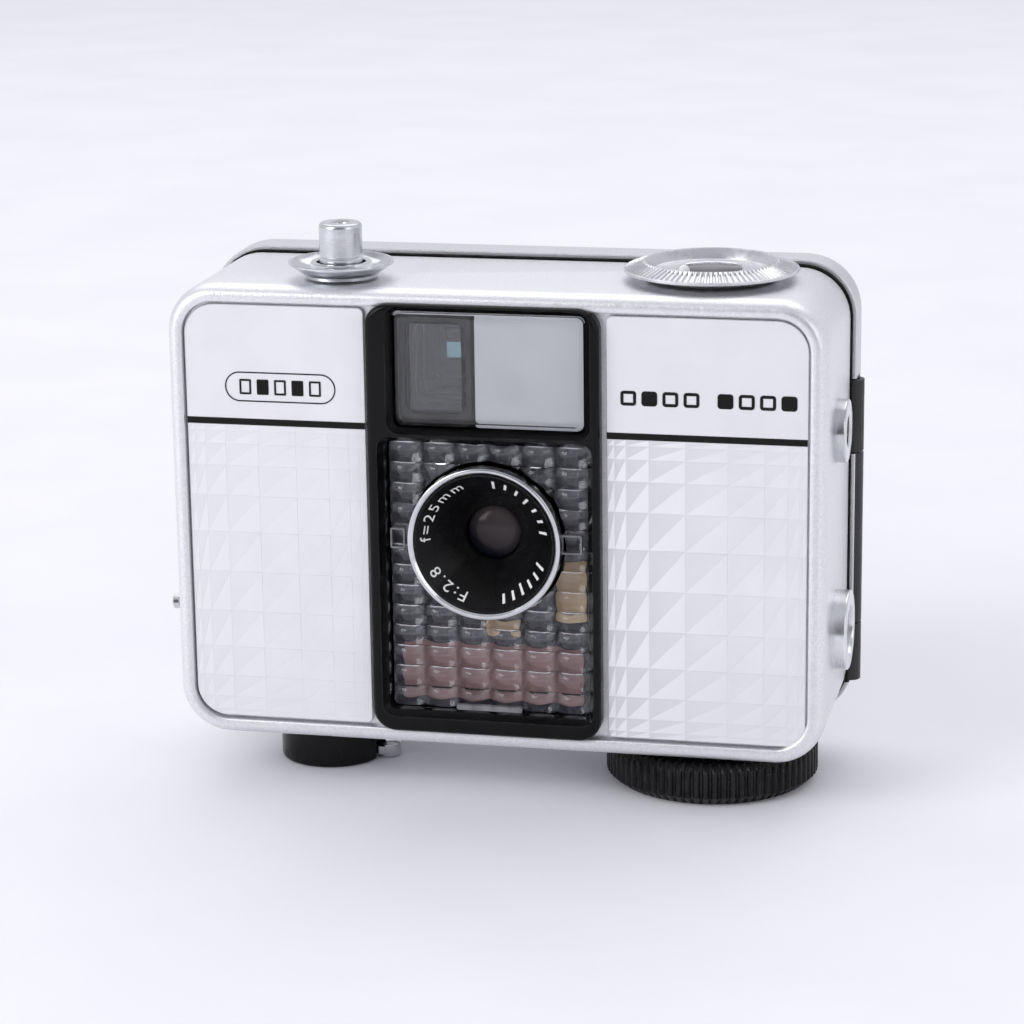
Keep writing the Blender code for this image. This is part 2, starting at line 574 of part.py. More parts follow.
def mainspring(centre):
    """A flat strip coiled between the winding shaft and the inside of the spool."""
    turns, steps, thick = 3, 14, 0.35
    inner, outer = [], []
    count = turns * steps
    for i in range(count + 1):
        turn = 2 * math.pi * i / steps
        radius = 2.4 + 3.1 * i / count
        for points, r in ((inner, radius), (outer, radius + thick)):
            points.append((centre[0] + r * math.cos(turn), centre[1] + r * math.sin(turn)))
    steel(prism("mainspring", inner + outer[::-1], "Z", -19.5, 15.5, (*centre, 0)))


# ---- knobs --------------------------------------------------------------------------------
def ribbed_outline(cu, cv, radius, ribs, depth):
    points = []
    for rib in range(ribs):
        for part, r in ((0.0, radius), (0.5, radius), (0.5, radius - depth), (1.0, radius - depth)):
            turn = 2 * math.pi * (rib + part * 0.96 + 0.02) / ribs
            points.append((cu + r * math.cos(turn), cv + r * math.sin(turn)))
    return points


def winding_knob():
    centre = (WIND_X, WIND_Y)
    knob = prism("winding_knob", ribbed_outline(*centre, WIND_R, 36, 0.35), "Z", GROUND, KNOB_TOP,
                 (*centre, KNOB_TOP))
    cut(knob, rod("knob_screw_seat", "Z", centre, 3.6, GROUND - 1, GROUND + 1.8, 20))
    black(knob)
    screw = rod("knob_screw", "Z", centre, 3.2, GROUND + 0.3, GROUND + 1.5, 20, (*centre, KNOB_TOP))
    slot = box("knob_screw_slot", (WIND_X - 4, WIND_X + 4), (WIND_Y - 0.4, WIND_Y + 0.4),
               (GROUND, GROUND + 0.8))
    steel(cut(screw, slot))


CRANK_PIN_X, CRANK_Z = REWIND_X - 4.6, GROUND + 1.1


def rewind_knob():
    """A smooth knob with a crank folded into a slot across its underside."""
    centre = (REWIND_X, REWIND_Y)
    knob = rod("rewind_knob", "Z", centre, REWIND_R, GROUND, KNOB_TOP, 32, (*centre, KNOB_TOP))
    half_slot = 2.3
    slot = box("crank_slot", (REWIND_X - 6.2, REWIND_X + 9), (REWIND_Y - half_slot, REWIND_Y + half_slot),
               (GROUND - 1, GROUND + 2.6))
    black(smooth(cut(knob, slot)))
    shaft = [(0, KNOB_TOP + GAP), (2.4, KNOB_TOP + GAP), (2.4, -24.3), (3.2, -24.0), (3.2, -22.6), (0, -22.6)]
    fork = turned("rewind_fork", "Z", centre, shaft, 16, (*centre, KNOB_TOP))
    prongs = [box(f"fork_prong_{side}", (REWIND_X + side * 1.9 - 0.7, REWIND_X + side * 1.9 + 0.7),
                  (REWIND_Y - 0.6, REWIND_Y + 0.6), (-23.0, -20.8)) for side in (-1, 1)]
    steel(unite(fork, *prongs))
    pivot = (CRANK_PIN_X, REWIND_Y, CRANK_Z)
    arm = box("rewind_crank", (CRANK_PIN_X - 0.9, -17.9), (REWIND_Y - 1.5, REWIND_Y + 1.5),
              (GROUND + 0.6, GROUND + 1.6), pivot)
    grip = rod("crank_grip", "Z", (-17.9, REWIND_Y), 1.5, GROUND + 0.05, GROUND + 1.9, 16)
    chrome(cut(unite(arm, grip), rod("crank_eye", "Y", (CRANK_PIN_X, CRANK_Z), 0.35, REWIND_Y - 3,
                                     REWIND_Y + 3, 8)))
    pin = rod("crank_pin", "Y", (CRANK_PIN_X, CRANK_Z), 0.22, REWIND_Y - 2.0, REWIND_Y + 2.0, 8, pivot)
    steel(pin)


# ---- sockets and stud ---------------------------------------------------------------------
def sockets():
    face = SHELL_HALF_W + 0.15
    tripod = [(3.2, 39.3), (4.6, 39.3), (4.6, face), (5.15, face), (5.15, 44.2), (4.95, 44.4), (3.2, 44.4)]
    chrome(smooth(turned("tripod_socket", "X", (TRIPOD_Y, TRIPOD_Z), tripod, 24)))
    sync = [(1.55, 39.3), (2.4, 39.3), (2.4, face), (4.05, face), (4.05, 43.7), (3.85, 43.9), (2.0, 43.9),
            (2.0, 42.9), (1.55, 42.9)]
    chrome(smooth(turned("sync_socket", "X", (SYNC_Y, SYNC_Z), sync, 24)))
    core = turned("sync_core", "X", (SYNC_Y, SYNC_Z),
                  [(0, 39.5), (1.25, 39.5), (1.25, 43.2), (0.5, 43.2), (0.5, 43.6), (0, 43.6)], 16)
    paint(core, (0.5, 0.47, 0.42), 0.5)
    stud = [(0, -39.2), (0.9, -39.2), (0.9, -42.6), (1.6, -42.6), (1.6, -43.2), (0.75, -43.3),
            (0.75, -44.9), (1.05, -45.1), (1.05, -45.8), (0.8, -46.0), (0, -46.0)]
    chrome(smooth(turned("strap_stud", "X", (STUD_Y, STUD_Z), stud, 16)))


# ---- back door ----------------------------------------------------------------------------
def hinge_span(low, high):
    """A length of hinge, a gap short of each neighbour."""
    return low + GAP / 2, high - GAP / 2


def back_door():
    half_w, half_h = DOOR_HALF_W, DOOR_HALF_H
    bm = bmesh.new()
    rings = []
    round_r = 2.6
    for inset, y in ((0, DOOR_FRONT), (0, DOOR_REAR - round_r), (round_r * 0.3, DOOR_REAR - round_r * 0.3),
                     (round_r, DOOR_REAR)):
        outline = rectangle(-half_w + inset, half_w - inset, -half_h + inset, half_h - inset,
                            7.2 - inset, 5)
        rings.append([bm.verts.new((u, y, v)) for u, v in outline])
    for low, high in zip(rings, rings[1:]):
        for i in range(len(low)):
            after = (i + 1) % len(low)
            bm.faces.new((low[i], high[i], high[after], low[after]))
    bm.faces.new(rings[0])
    bm.faces.new(reversed(rings[-1]))
    axis = (HINGE_X, HINGE_Y, 0)
    door = finish("back_door", bm, axis)
    inner_w, inner_h = half_w - DOOR_WALL, half_h - DOOR_WALL
    low, high = hinge_span(HINGE_LOW_SPLIT, HINGE_HIGH_SPLIT)
    cut(door, slab("door_inside", (-inner_w, inner_w, -inner_h, inner_h),
                   (DOOR_FRONT - 1, DOOR_REAR - 1.6), 7.2 - DOOR_WALL, 5))
    knuckle = rod("door_knuckle", "Z", (HINGE_X, HINGE_Y), HINGE_R, low, high, 20)
    unite(door, knuckle)
    notch_x, notch_y = (40.0, 46.0), (DOOR_FRONT - 1, 27.2)
    cut(door,
        box("notch_top", notch_x, notch_y, (high, HINGE_TOP + 0.3)),
        box("notch_bottom", notch_x, notch_y, (HINGE_BOTTOM - 0.3, low)),
        rod("door_pin_bore", "Z", (HINGE_X, HINGE_Y), 0.95, -30, 20, 12),
        box("latch_slot", (-45, -40.5), (25.6, 29.1), (-5.2, 5.2)),
        slab("eyepiece_opening", (EYE_X - 3.4, EYE_X + 3.4, EYE_Z - 3.2, EYE_Z + 3.2), (28, 32)))
    silver(smooth(door))


def hinge():
    leaf = box("hinge_leaf", (40.1, 41.0), (18.5, 24.6), (HINGE_BOTTOM + 2.7, HINGE_TOP))
    middle_low, middle_high = HINGE_LOW_SPLIT - GAP, HINGE_HIGH_SPLIT + GAP
    cut(leaf, box("leaf_relief", (39, 42), (23.7, 26), (middle_low, middle_high)))
    for i, (low, high) in enumerate(((HINGE_BOTTOM, HINGE_LOW_SPLIT - GAP / 2),
                                     (HINGE_HIGH_SPLIT + GAP / 2, HINGE_TOP))):
        unite(leaf, rod(f"leaf_knuckle_{i}", "Z", (HINGE_X, HINGE_Y), HINGE_R, low, high, 20),
              box(f"leaf_web_{i}", (40.5, HINGE_X), (23.65, 24.55), (low, high)))
    cut(leaf, rod("leaf_pin_bore", "Z", (HINGE_X, HINGE_Y), 0.95, -30, 20, 12))
    black(leaf)
    steel(rod("hinge_pin", "Z", (HINGE_X, HINGE_Y), 0.7, HINGE_BOTTOM - 0.2, HINGE_TOP + 0.2, 12))


def door_fittings():
    plate = slab("pressure_plate", (-12.6, 10.9, -19.4, 15.1), (25.55, 26.2), 1.5, 2)
    paint(plate, (0.03, 0.03, 0.032), 0.3)
    arch = [(-8 + 14 * i / 8, 26.55 + 2.3 * math.sin(math.pi * i / 8)) for i in range(9)]
    thick = [(u, v + 0.28) for u, v in reversed(arch)]
    steel(prism("pressure_spring", arch + thick, "Z", -6.0, 1.7))
    seal = slab("light_seal", (-42.0, 42.0, -29.5, 29.5), (22.75, 23.3), 5.9, 4)
    cut(seal, slab("seal_inside", (-41.2, 41.2, -28.7, 28.7), (22, 24), 5.1, 4))
    paint(seal, (0.01, 0.01, 0.01), 0.9)
    latch = box("door_latch", (-43.9, -41.3), (25.9, 28.8), (-1.9, 4.9), (-42.6, 27.3, 1.5))
    ribs = [box(f"latch_rib_{i}", (-44.4, -43.7), (26.2, 28.5), (z, z + 0.5))
            for i, z in enumerate((-0.9, 0.3, 1.5, 2.7, 3.9))]
    steel(unite(latch, *ribs))


def build():
    for obj in list(bpy.data.objects):
        bpy.data.objects.remove(obj)
    front_shell()
    front_panels()
    centre_frame()
    finder()
    lens_array()
    light_meter()
    lens_parts()
    shutter()
    main_casting()
    casting_screws()
    shutter_button()
    top_dial()
    film_drive()
    winding_knob()
    rewind_knob()
    sockets()
    back_door()
    hinge()
    door_fittings()
    eyepiece()


build()
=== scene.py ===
"""The looks of the half frame camera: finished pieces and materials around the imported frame."""

import math

import bmesh
import bpy
from mathutils import Matrix, Vector

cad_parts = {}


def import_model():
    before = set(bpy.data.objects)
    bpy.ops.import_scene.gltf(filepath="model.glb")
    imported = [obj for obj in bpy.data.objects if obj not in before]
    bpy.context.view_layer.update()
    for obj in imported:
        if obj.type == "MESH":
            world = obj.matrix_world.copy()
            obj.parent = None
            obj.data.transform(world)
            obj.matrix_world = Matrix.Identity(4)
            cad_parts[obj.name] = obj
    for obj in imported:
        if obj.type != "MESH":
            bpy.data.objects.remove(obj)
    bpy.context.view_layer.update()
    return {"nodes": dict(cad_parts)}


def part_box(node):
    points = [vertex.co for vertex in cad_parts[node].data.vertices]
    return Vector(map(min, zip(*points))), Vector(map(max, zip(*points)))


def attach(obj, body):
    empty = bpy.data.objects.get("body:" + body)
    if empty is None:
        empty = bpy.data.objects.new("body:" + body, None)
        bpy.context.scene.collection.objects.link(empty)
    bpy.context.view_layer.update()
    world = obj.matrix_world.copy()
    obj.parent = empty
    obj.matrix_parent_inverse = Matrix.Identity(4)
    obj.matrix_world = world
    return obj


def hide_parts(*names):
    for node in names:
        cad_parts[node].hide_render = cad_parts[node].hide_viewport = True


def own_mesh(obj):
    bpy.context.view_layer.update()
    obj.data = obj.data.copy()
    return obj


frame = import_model()

MM = 0.001

# The camera's own frame, as in the CAD: millimetres from the middle of the two front panels.
LEFT_LOW, LEFT_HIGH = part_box("left_panel")
RIGHT_LOW, RIGHT_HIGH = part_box("right_panel")
ORIGIN = Vector(((LEFT_LOW.x + RIGHT_HIGH.x) / 2, LEFT_LOW.y, (LEFT_LOW.z + LEFT_HIGH.z) / 2))


def world(point):
    """A point in the camera's millimetres, in the world's metres."""
    return ORIGIN + Vector(point) * MM


def span(node):
    """A CAD node's box in the camera's millimetres: low corner and high corner."""
    low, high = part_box(node)
    return (low - ORIGIN) / MM, (high - ORIGIN) / MM


def middle(node):
    low, high = span(node)
    return (low + high) / 2


def round_part(node, axis="Z"):
    """A turned CAD node: the centre and radius across its axis, then its low and high corners."""
    low, high = span(node)
    at = (low + high) / 2
    centre = {"X": (at.y, at.z), "Y": (at.x, at.z), "Z": (at.x, at.y)}[axis]
    across = high.y - low.y if axis == "X" else high.x - low.x
    return centre, across / 2, low, high


PANEL_W = (RIGHT_HIGH.x - LEFT_LOW.x) / MM / 2
PANEL_H = (LEFT_HIGH.z - LEFT_LOW.z) / MM / 2
SHELL_LOW, SHELL_HIGH = span("front_shell")
LENS = middle("lens_ring")
CORNER_STEPS = 12
SHARP = 32  # degrees, above which an edge stays sharp


# ---- mesh tools ----
def rounded(x0, x1, z0, z1, radius, steps=CORNER_STEPS):
    """Points round a rectangle seen from the front, anticlockwise, with arcs at its corners."""
    radii = radius if isinstance(radius, tuple) else (radius,) * 4
    corners = ((x1, z1, -1, -1), (x0, z1, 1, -1), (x0, z0, 1, 1), (x1, z0, -1, 1))
    points = []
    for turn, ((x, z, side_x, side_z), r) in enumerate(zip(corners, radii)):
        for step in range(steps + 1):
            angle = math.pi / 2 * (turn + step / steps)
            points.append((x + side_x * r + r * math.cos(angle), z + side_z * r + r * math.sin(angle)))
    return points


def centred(half_w, half_h, radius, steps=CORNER_STEPS):
    return rounded(-half_w, half_w, -half_h, half_h, radius, steps)


def around(low, high, by, radius, steps=CORNER_STEPS):
    """A rounded outline of a box seen from the front, grown outwards by this much."""
    return rounded(low.x - by, high.x + by, low.z - by, high.z + by, radius, steps)


def quarter(steps):
    """Angles over a quarter turn, without the first."""
    return [math.pi / 2 * i / steps for i in range(1, steps + 1)]


def circle(u, v, radius, sides):
    turns = [2 * math.pi * i / sides for i in range(sides)]
    return [(u + radius * math.cos(t), v + radius * math.sin(t)) for t in turns]


def arc(u, v, radius, start, end, steps):
    """Points of an arc in a profile, angles in degrees."""
    turns = [math.radians(start + (end - start) * i / steps) for i in range(steps + 1)]
    return [(u + radius * math.cos(t), v + radius * math.sin(t)) for t in turns]


def loft(rings, cap_first=False, cap_last=False, closed=False):
    """A skin over rings that have the same number of points."""
    bm = bmesh.new()
    layers = [[bm.verts.new(point) for point in ring] for ring in rings]
    for low, high in zip(layers, layers[1:] + layers[:closed]):
        for i in range(len(low)):
            after = (i + 1) % len(low)
            bm.faces.new((low[i], high[i], high[after], low[after]))
    if cap_first:
        bm.faces.new(layers[0])
    if cap_last:
        bm.faces.new(reversed(layers[-1]))
    return bm


def front_rings(outline_of, profile):
    """Rings facing the front: outline_of(inset) gives a ring's outline, profile is (inset, y)."""
    return [[(x, y, z) for x, z in outline_of(inset)] for inset, y in profile]


def placed(axis, u, v, w):
    return {"X": (w, u, v), "Y": (u, w, v), "Z": (u, v, w)}[axis]


def lathe(axis, centre, profile, sides):
    """A closed profile of (radius, height) turned about an axis."""
    bm = bmesh.new()
    layers = []
    for radius, height in profile:
        if radius <= 0:
            layers.append([bm.verts.new(placed(axis, *centre, height))])
            continue
        layers.append([bm.verts.new(placed(axis, u, v, height)) for u, v in circle(*centre, radius, sides)])
    for low, high in zip(layers, layers[1:] + layers[:1]):
        if len(low) == 1 and len(high) == 1:
            continue
        for i in range(sides):
            after = (i + 1) % sides
            ring = [low[i % len(low)], high[i % len(high)], high[after % len(high)], low[after % len(low)]]
            bm.faces.new(list(dict.fromkeys(ring)))
    return bm


def ribbed_lathe(centre, profile, ribs, cuts):
    """Turned about Z: entries marked "rib" step in and down by each (in, down) of cuts, rib after rib."""
    sides = ribs * len(cuts)
    rings = []
    for *ribbed, radius, height in profile:
        ring = []
        for i in range(sides):
            turn = 2 * math.pi * i / sides
            inward, down = cuts[i % len(cuts)] if ribbed else (0, 0)
            x, y = math.cos(turn) * (radius - inward), math.sin(turn) * (radius - inward)
            ring.append((centre[0] + x, centre[1] + y, height - down))
        rings.append(ring)
    return loft(rings, closed=True)


def prism(axis, outline, low, high):
    return loft([[placed(axis, u, v, w) for u, v in outline] for w in (low, high)], True, True)


def joined(*meshes):
    """Several meshes as the loose parts of one."""
    whole = meshes[0]
    for extra in meshes[1:]:
        carrier = bpy.data.meshes.new("part")
        extra.to_mesh(carrier)
        whole.from_mesh(carrier)
        bpy.data.meshes.remove(carrier)
        extra.free()
    return whole


def put(name, bm):
    """An object in the scene from a mesh in camera millimetres."""
    bmesh.ops.transform(bm, matrix=Matrix.Translation(ORIGIN) @ Matrix.Scale(MM, 4), verts=bm.verts)
    mesh = bpy.data.meshes.new(name)
    bm.to_mesh(mesh)
    bm.free()
    obj = bpy.data.objects.new(name, mesh)
    bpy.context.scene.collection.objects.link(obj)
    return obj


def smooth(mesh, angle):
    """Smooth shading that keeps edges sharper than this many degrees."""
    mesh.shade_smooth()
    mesh.set_sharp_from_angle(angle=math.radians(angle))


def piece(name, bm, material, body="body", replaces=(), angle=SHARP):
    """Turn a mesh in camera millimetres into a finished piece on a body."""
    bmesh.ops.recalc_face_normals(bm, faces=bm.faces)
    if bm.calc_volume(signed=True) < 0:
        bmesh.ops.reverse_faces(bm, faces=bm.faces)
    obj = put(name, bm)
    obj.data.materials.append(material)
    smooth(obj.data, angle)
    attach(obj, body)
    if replaces:
        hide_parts(*replaces)
    return obj


def carve(obj, *cutters, operation="DIFFERENCE", angle=SHARP):
    """Cut one mesh with others, which are then thrown away."""
    helpers = []
    for bm in cutters:
        bmesh.ops.recalc_face_normals(bm, faces=bm.faces)
        helpers.append(put("cutter", bm))
        boolean = obj.modifiers.new("cut", "BOOLEAN")
        boolean.operation = operation
        boolean.object = helpers[-1]
    bpy.context.view_layer.update()
    whole = obj.data
    obj.data = bpy.data.meshes.new_from_object(obj.evaluated_get(bpy.context.evaluated_depsgraph_get()))
    obj.modifiers.clear()
    leftovers = [whole] + [helper.data for helper in helpers]
    for helper in helpers:
        bpy.data.objects.remove(helper)
    for mesh in leftovers:
        bpy.data.meshes.remove(mesh)
    smooth(obj.data, angle)
    return obj


# ---- materials ----
EDGE_WEAR = 0.25  # how far wear reaches in from an edge


def map_range(tree, value, low, high, to_low=0.0, to_high=1.0):
    node = tree.nodes.new("ShaderNodeMapRange")
    for name, number in (("From Min", low), ("From Max", high), ("To Min", to_low), ("To Max", to_high)):
        node.inputs[name].default_value = number
    tree.links.new(value, node.inputs["Value"])
    return node.outputs["Result"]


def math_node(tree, operation, *sockets):
    node = tree.nodes.new("ShaderNodeMath")
    node.operation = operation
    for value, target in zip(sockets, node.inputs):
        tree.links.new(value, target)
    return node.outputs["Value"]


def adjust(material, **values):
    """Uniform values on the shader's own sockets, such as Coat_Weight=0.4."""
    shader = material.node_tree.nodes["Principled BSDF"]
    for name, value in values.items():
        shader.inputs[name.replace("_", " ")].default_value = value


class Finish:
    """A node material on one Principled BSDF, built up a property at a time."""

    def __init__(self, name, roughness=0.4, metallic=0.0):
        self.material = bpy.data.materials.new(name)
        self.material.use_nodes = True
        self.nodes = self.material.node_tree.nodes
        self.links = self.material.node_tree.links
        self.shader = self.nodes["Principled BSDF"]
        self.shader.inputs["Roughness"].default_value = roughness
        self.shader.inputs["Metallic"].default_value = metallic
        self.place = self.nodes.new("ShaderNodeTexCoord")
        self.normal = None

    def noise(self, size_mm, detail=3.0, stretch=(1, 1, 1), offset=0.0):
        """Noise with spots of about this size, between 0 and 1."""
        mapping = self.nodes.new("ShaderNodeMapping")
        mapping.inputs["Scale"].default_value = stretch
        mapping.inputs["Location"].default_value = (offset, offset * 0.7, -offset)
        self.links.new(self.place.outputs["Object"], mapping.inputs["Vector"])
        noise = self.nodes.new("ShaderNodeTexNoise")
        noise.inputs["Scale"].default_value = 1 / (size_mm * MM)
        noise.inputs["Detail"].default_value = detail
        self.links.new(mapping.outputs["Vector"], noise.inputs["Vector"])
        return noise.outputs["Fac"]

    def ramp(self, value, *limits):
        return map_range(self.material.node_tree, value, *limits)

    def mix(self, factor, first, second):
        mixer = self.nodes.new("ShaderNodeMix")
        mixer.data_type = "RGBA"
        self.links.new(factor, mixer.inputs["Factor"])
        for socket, value in (("A", first), ("B", second)):
            target = [s for s in mixer.inputs if s.name == socket and s.type == "RGBA"][0]
            if isinstance(value, bpy.types.NodeSocket):
                self.links.new(value, target)
            else:
                target.default_value = (*value, 1)
        return [s for s in mixer.outputs if s.type == "RGBA"][0]

    def colour(self, value):
        self.links.new(value, self.shader.inputs["Base Color"])
        return self

    def colours(self, first, second, size_mm):
        """Two close colours that drift into each other over the surface."""
        drift = self.ramp(self.noise(size_mm, 4), 0.38, 0.62)
        self.base = self.mix(drift, first, second)
        return self.colour(self.base)

    def dot(self, vector):
        node = self.nodes.new("ShaderNodeVectorMath")
        node.operation = "DOT_PRODUCT"
        self.links.new(vector, node.inputs[0])
        return node

    def worn(self, colour):
        """Bare or polished material along the sharp edges, broken up by noise."""
        rounded_edge = self.nodes.new("ShaderNodeBevel")
        rounded_edge.samples = 4
        rounded_edge.inputs["Radius"].default_value = EDGE_WEAR * MM
        geometry = self.nodes.new("ShaderNodeNewGeometry")
        turn = self.dot(rounded_edge.outputs["Normal"])
        self.links.new(geometry.outputs["Normal"], turn.inputs[1])
        rubbed = self.ramp(turn.outputs["Value"], 0.99, 0.90)
        patches = self.ramp(self.noise(1.4, 4, offset=3.1), 0.35, 0.6)
        broken = math_node(self.material.node_tree, "MULTIPLY", rubbed, patches)
        self.base = self.mix(broken, self.base, colour)
        return self.colour(self.base)

    def rough(self, low, high, size_mm, stretch=(1, 1, 1)):
        value = self.ramp(self.noise(size_mm, 4, stretch, 1.7), 0.35, 0.65, low, high)
        self.links.new(value, self.shader.inputs["Roughness"])
        return self

    def relief(self, height, depth_mm, strength):
        node = self.nodes.new("ShaderNodeBump")
        node.inputs["Distance"].default_value = depth_mm * MM
        node.inputs["Strength"].default_value = strength
        self.links.new(height, node.inputs["Height"])
        if self.normal:
            self.links.new(self.normal, node.inputs["Normal"])
        self.normal = node.outputs["Normal"]
        self.links.new(self.normal, self.shader.inputs["Normal"])
        return self

    def bump(self, size_mm, depth_mm, strength, detail=2.0, stretch=(1, 1, 1)):
        return self.relief(self.noise(size_mm, detail, stretch, 0.4), depth_mm, strength)

    def pebbles(self, size_mm, depth_mm, strength):
        """The raised grain of leather: rounded bumps, with painted shade darkening the creases between them.
        """
        cells = self.nodes.new("ShaderNodeTexVoronoi")
        cells.feature = "SMOOTH_F1"
        cells.inputs["Scale"].default_value = 1 / (size_mm * MM)
        self.links.new(self.place.outputs["Object"], cells.inputs["Vector"])
        height = self.ramp(cells.outputs["Distance"], 0.15, 0.65, 1.0, 0.0)
        # Painted shade in the creases.
        crease_shade = (0.006, 0.006, 0.006)
        return self.relief(height, depth_mm, strength).colour(self.mix(height, crease_shade, self.base))

    def set(self, **values):
        adjust(self.material, **values)
        return self


def scaled(tint, by):
    return tuple(c * by for c in tint)


def satin_silver(name="satin_silver", tint=(0.82, 0.822, 0.85)):
    finish = Finish(name, 0.42, 0.9)
    finish.colours(scaled(tint, 0.95), scaled(tint, 1.04), 0.3)
    finish.worn((0.78, 0.78, 0.80))
    return finish.rough(0.39, 0.47, 0.4).bump(0.28, 0.04, 0.8, 1).material


def panel_silver(name, tone, grain_turn, fade=None):
    """Brushed white aluminium; fade=(start, end) in world x lets a painted tone die away: painted shade
    where tone is below 1, painted highlight where it is above.
    """
    finish = Finish(name, 0.34, 0.35)
    light = (0.86, 0.855, 0.885)
    finish.colours(scaled(light, 0.965), light, 7)
    if fade:
        split = finish.nodes.new("ShaderNodeSeparateXYZ")
        finish.links.new(finish.place.outputs["Object"], split.inputs["Vector"])
        along = finish.ramp(split.outputs["X"], *fade, 0.0, 0.85)
        finish.colour(finish.mix(along, tuple(min(c, 1.0) for c in scaled(light, tone)), finish.base))
    stretch = (0.05, 1, 1) if grain_turn == 0 else (1, 1, 0.05)
    return finish.rough(0.30, 0.40, 1.2, stretch).bump(0.16, 0.006, 0.35, 2, stretch).material


def chrome(name="chrome", tint=(0.62, 0.63, 0.655), rough=(0.11, 0.20)):
    finish = Finish(name, 0.14, 1.0)
    finish.colours(scaled(tint, 0.92), tint, 3)
    finish.worn((0.9, 0.9, 0.92))
    return finish.rough(*rough, 1.0).bump(0.6, 0.006, 0.25, 3).material


def machined(name, tint, axis):
    """Turned metal with faint rings about an axis."""
    finish = Finish(name, 0.25, 1.0)
    finish.colours(scaled(tint, 0.9), tint, 2)
    stretch = {"X": (1, 0.08, 0.08), "Y": (0.08, 1, 0.08), "Z": (0.08, 0.08, 1)}[axis]
    return finish.rough(0.2, 0.32, 0.7, stretch).bump(0.25, 0.008, 0.12, 2, stretch).material


def gloss_black(name="gloss_black", rough=(0.12, 0.24), tone=0.003):
    finish = Finish(name, 0.18, 0.0)
    finish.colours((tone * 0.7,) * 3, (tone * 1.3, tone * 1.3, tone * 1.5), 5)
    finish.worn((0.03, 0.03, 0.033))
    return finish.rough(*rough, 1.6).bump(1.6, 0.01, 0.12, 3).set(Specular_IOR_Level=0.16).material


def satin_black(name, rough=(0.32, 0.48), tone=0.016, grain=0.35, depth=0.02, shine=0.5):
    finish = Finish(name, 0.4, 0.0)
    finish.set(Specular_IOR_Level=shine)
    finish.colours((tone * 0.75,) * 3, (tone * 1.3, tone * 1.3, tone * 1.4), 6)
    finish.worn((0.05, 0.05, 0.055))
    return finish.rough(*rough, 2.2).bump(grain, depth, 0.35, 2).material


def clear_plastic(name="clear_plastic"):
    finish = Finish(name, 0.03, 0.0)
    tint = (0.97, 0.98, 1.0)
    finish.colours(scaled(tint, 0.97), tint, 5)
    finish.rough(0.02, 0.05, 1.5).bump(2.5, 0.01, 0.12, 2)
    return finish.set(Transmission_Weight=1.0, IOR=1.47).material


def coated_glass(name, tint, clearness=1.0, across=None):
    """Lens glass with a faint purple-brown coating. With `across` (metres), it is the hazy front
    glass, and painted shade darkens it towards the lower left over that distance either side."""
    finish = Finish(name, 0.02, 0.0)
    finish.colours(tint, scaled(tint, 1.08), 4)
    roughness, shine = (0.01, 0.03), 0.5
    if across:
        roughness, shine = (0.14, 0.2), 0.15
        # Painted shade: the glass is darkened towards the lower left along this slope.
        up_right = Vector((0.6, 0, 0.8))
        slope = finish.dot(finish.place.outputs["Object"])
        slope.inputs[1].default_value = up_right
        centre = world((LENS.x, 0, LENS.z)).dot(up_right)
        share = finish.ramp(slope.outputs["Value"], centre - across, centre + across)
        finish.colour(finish.mix(share, (0.006, 0.007, 0.012), finish.base))
    finish.rough(*roughness, 2).bump(3, 0.004, 0.05)
    return finish.set(Transmission_Weight=clearness, IOR=1.55, Specular_Tint=(1.0, 0.84, 0.80, 1),
                      Specular_IOR_Level=shine).material


def paint(name, first, second, rough, size=3.0, grain=0.3):
    finish = Finish(name, 0.5)
    finish.colours(first, second, size)
    return finish.rough(*rough, 1.2).bump(grain, 0.012, 0.3, 2).material


SATIN = satin_silver()
PANEL = panel_silver("panel_plain", 1.0, 0)
CHROME = chrome()
GLOSS_BLACK = gloss_black()
INK = satin_black("black_ink", (0.25, 0.35), 0.004, 0.3, 0.004, 0.2)
WHITE_INK = paint("white_ink", (0.86, 0.86, 0.85), (0.94, 0.94, 0.93), (0.45, 0.6), 1.0)
CLEAR = clear_plastic()
FINDER_CLEAR = clear_plastic("finder_clear")
adjust(FINDER_CLEAR, Specular_IOR_Level=0.2)
GLASS = coated_glass("coated_glass", (0.80, 0.78, 0.82))
FRONT_GLASS = coated_glass("front_glass", (0.075, 0.064, 0.066), 0.1, 0.0022)


# ---- outer shell ----
SHELL_CORNER, SHELL_WALL = 6.5, 1.1
RIM_ACROSS, RIM_DEEP = 1.4, 2.3  # how far the rim's rounding reaches in and back
FLOOR_FRONT, FLOOR_BACK = 0.75, 1.4  # the tray's floor behind the panels
FLOOR_HOLE = (-15.0, 13.0, -26.5, 26.5)  # behind the centre frame
LINING = ((-41.0, -16.8), (14.8, 41.0))  # the two sheets that black out the floor
LINING_HALF_H = 28.6
BORES = (("shutter_button", 3.1), ("dial_hub", 5.0), ("winding_shaft", 3.6), ("rewind_knob", 3.0),
         ("sync_socket", 2.7), ("tripod_socket", 4.9), ("strap_stud", 1.2))  # radii through the shell


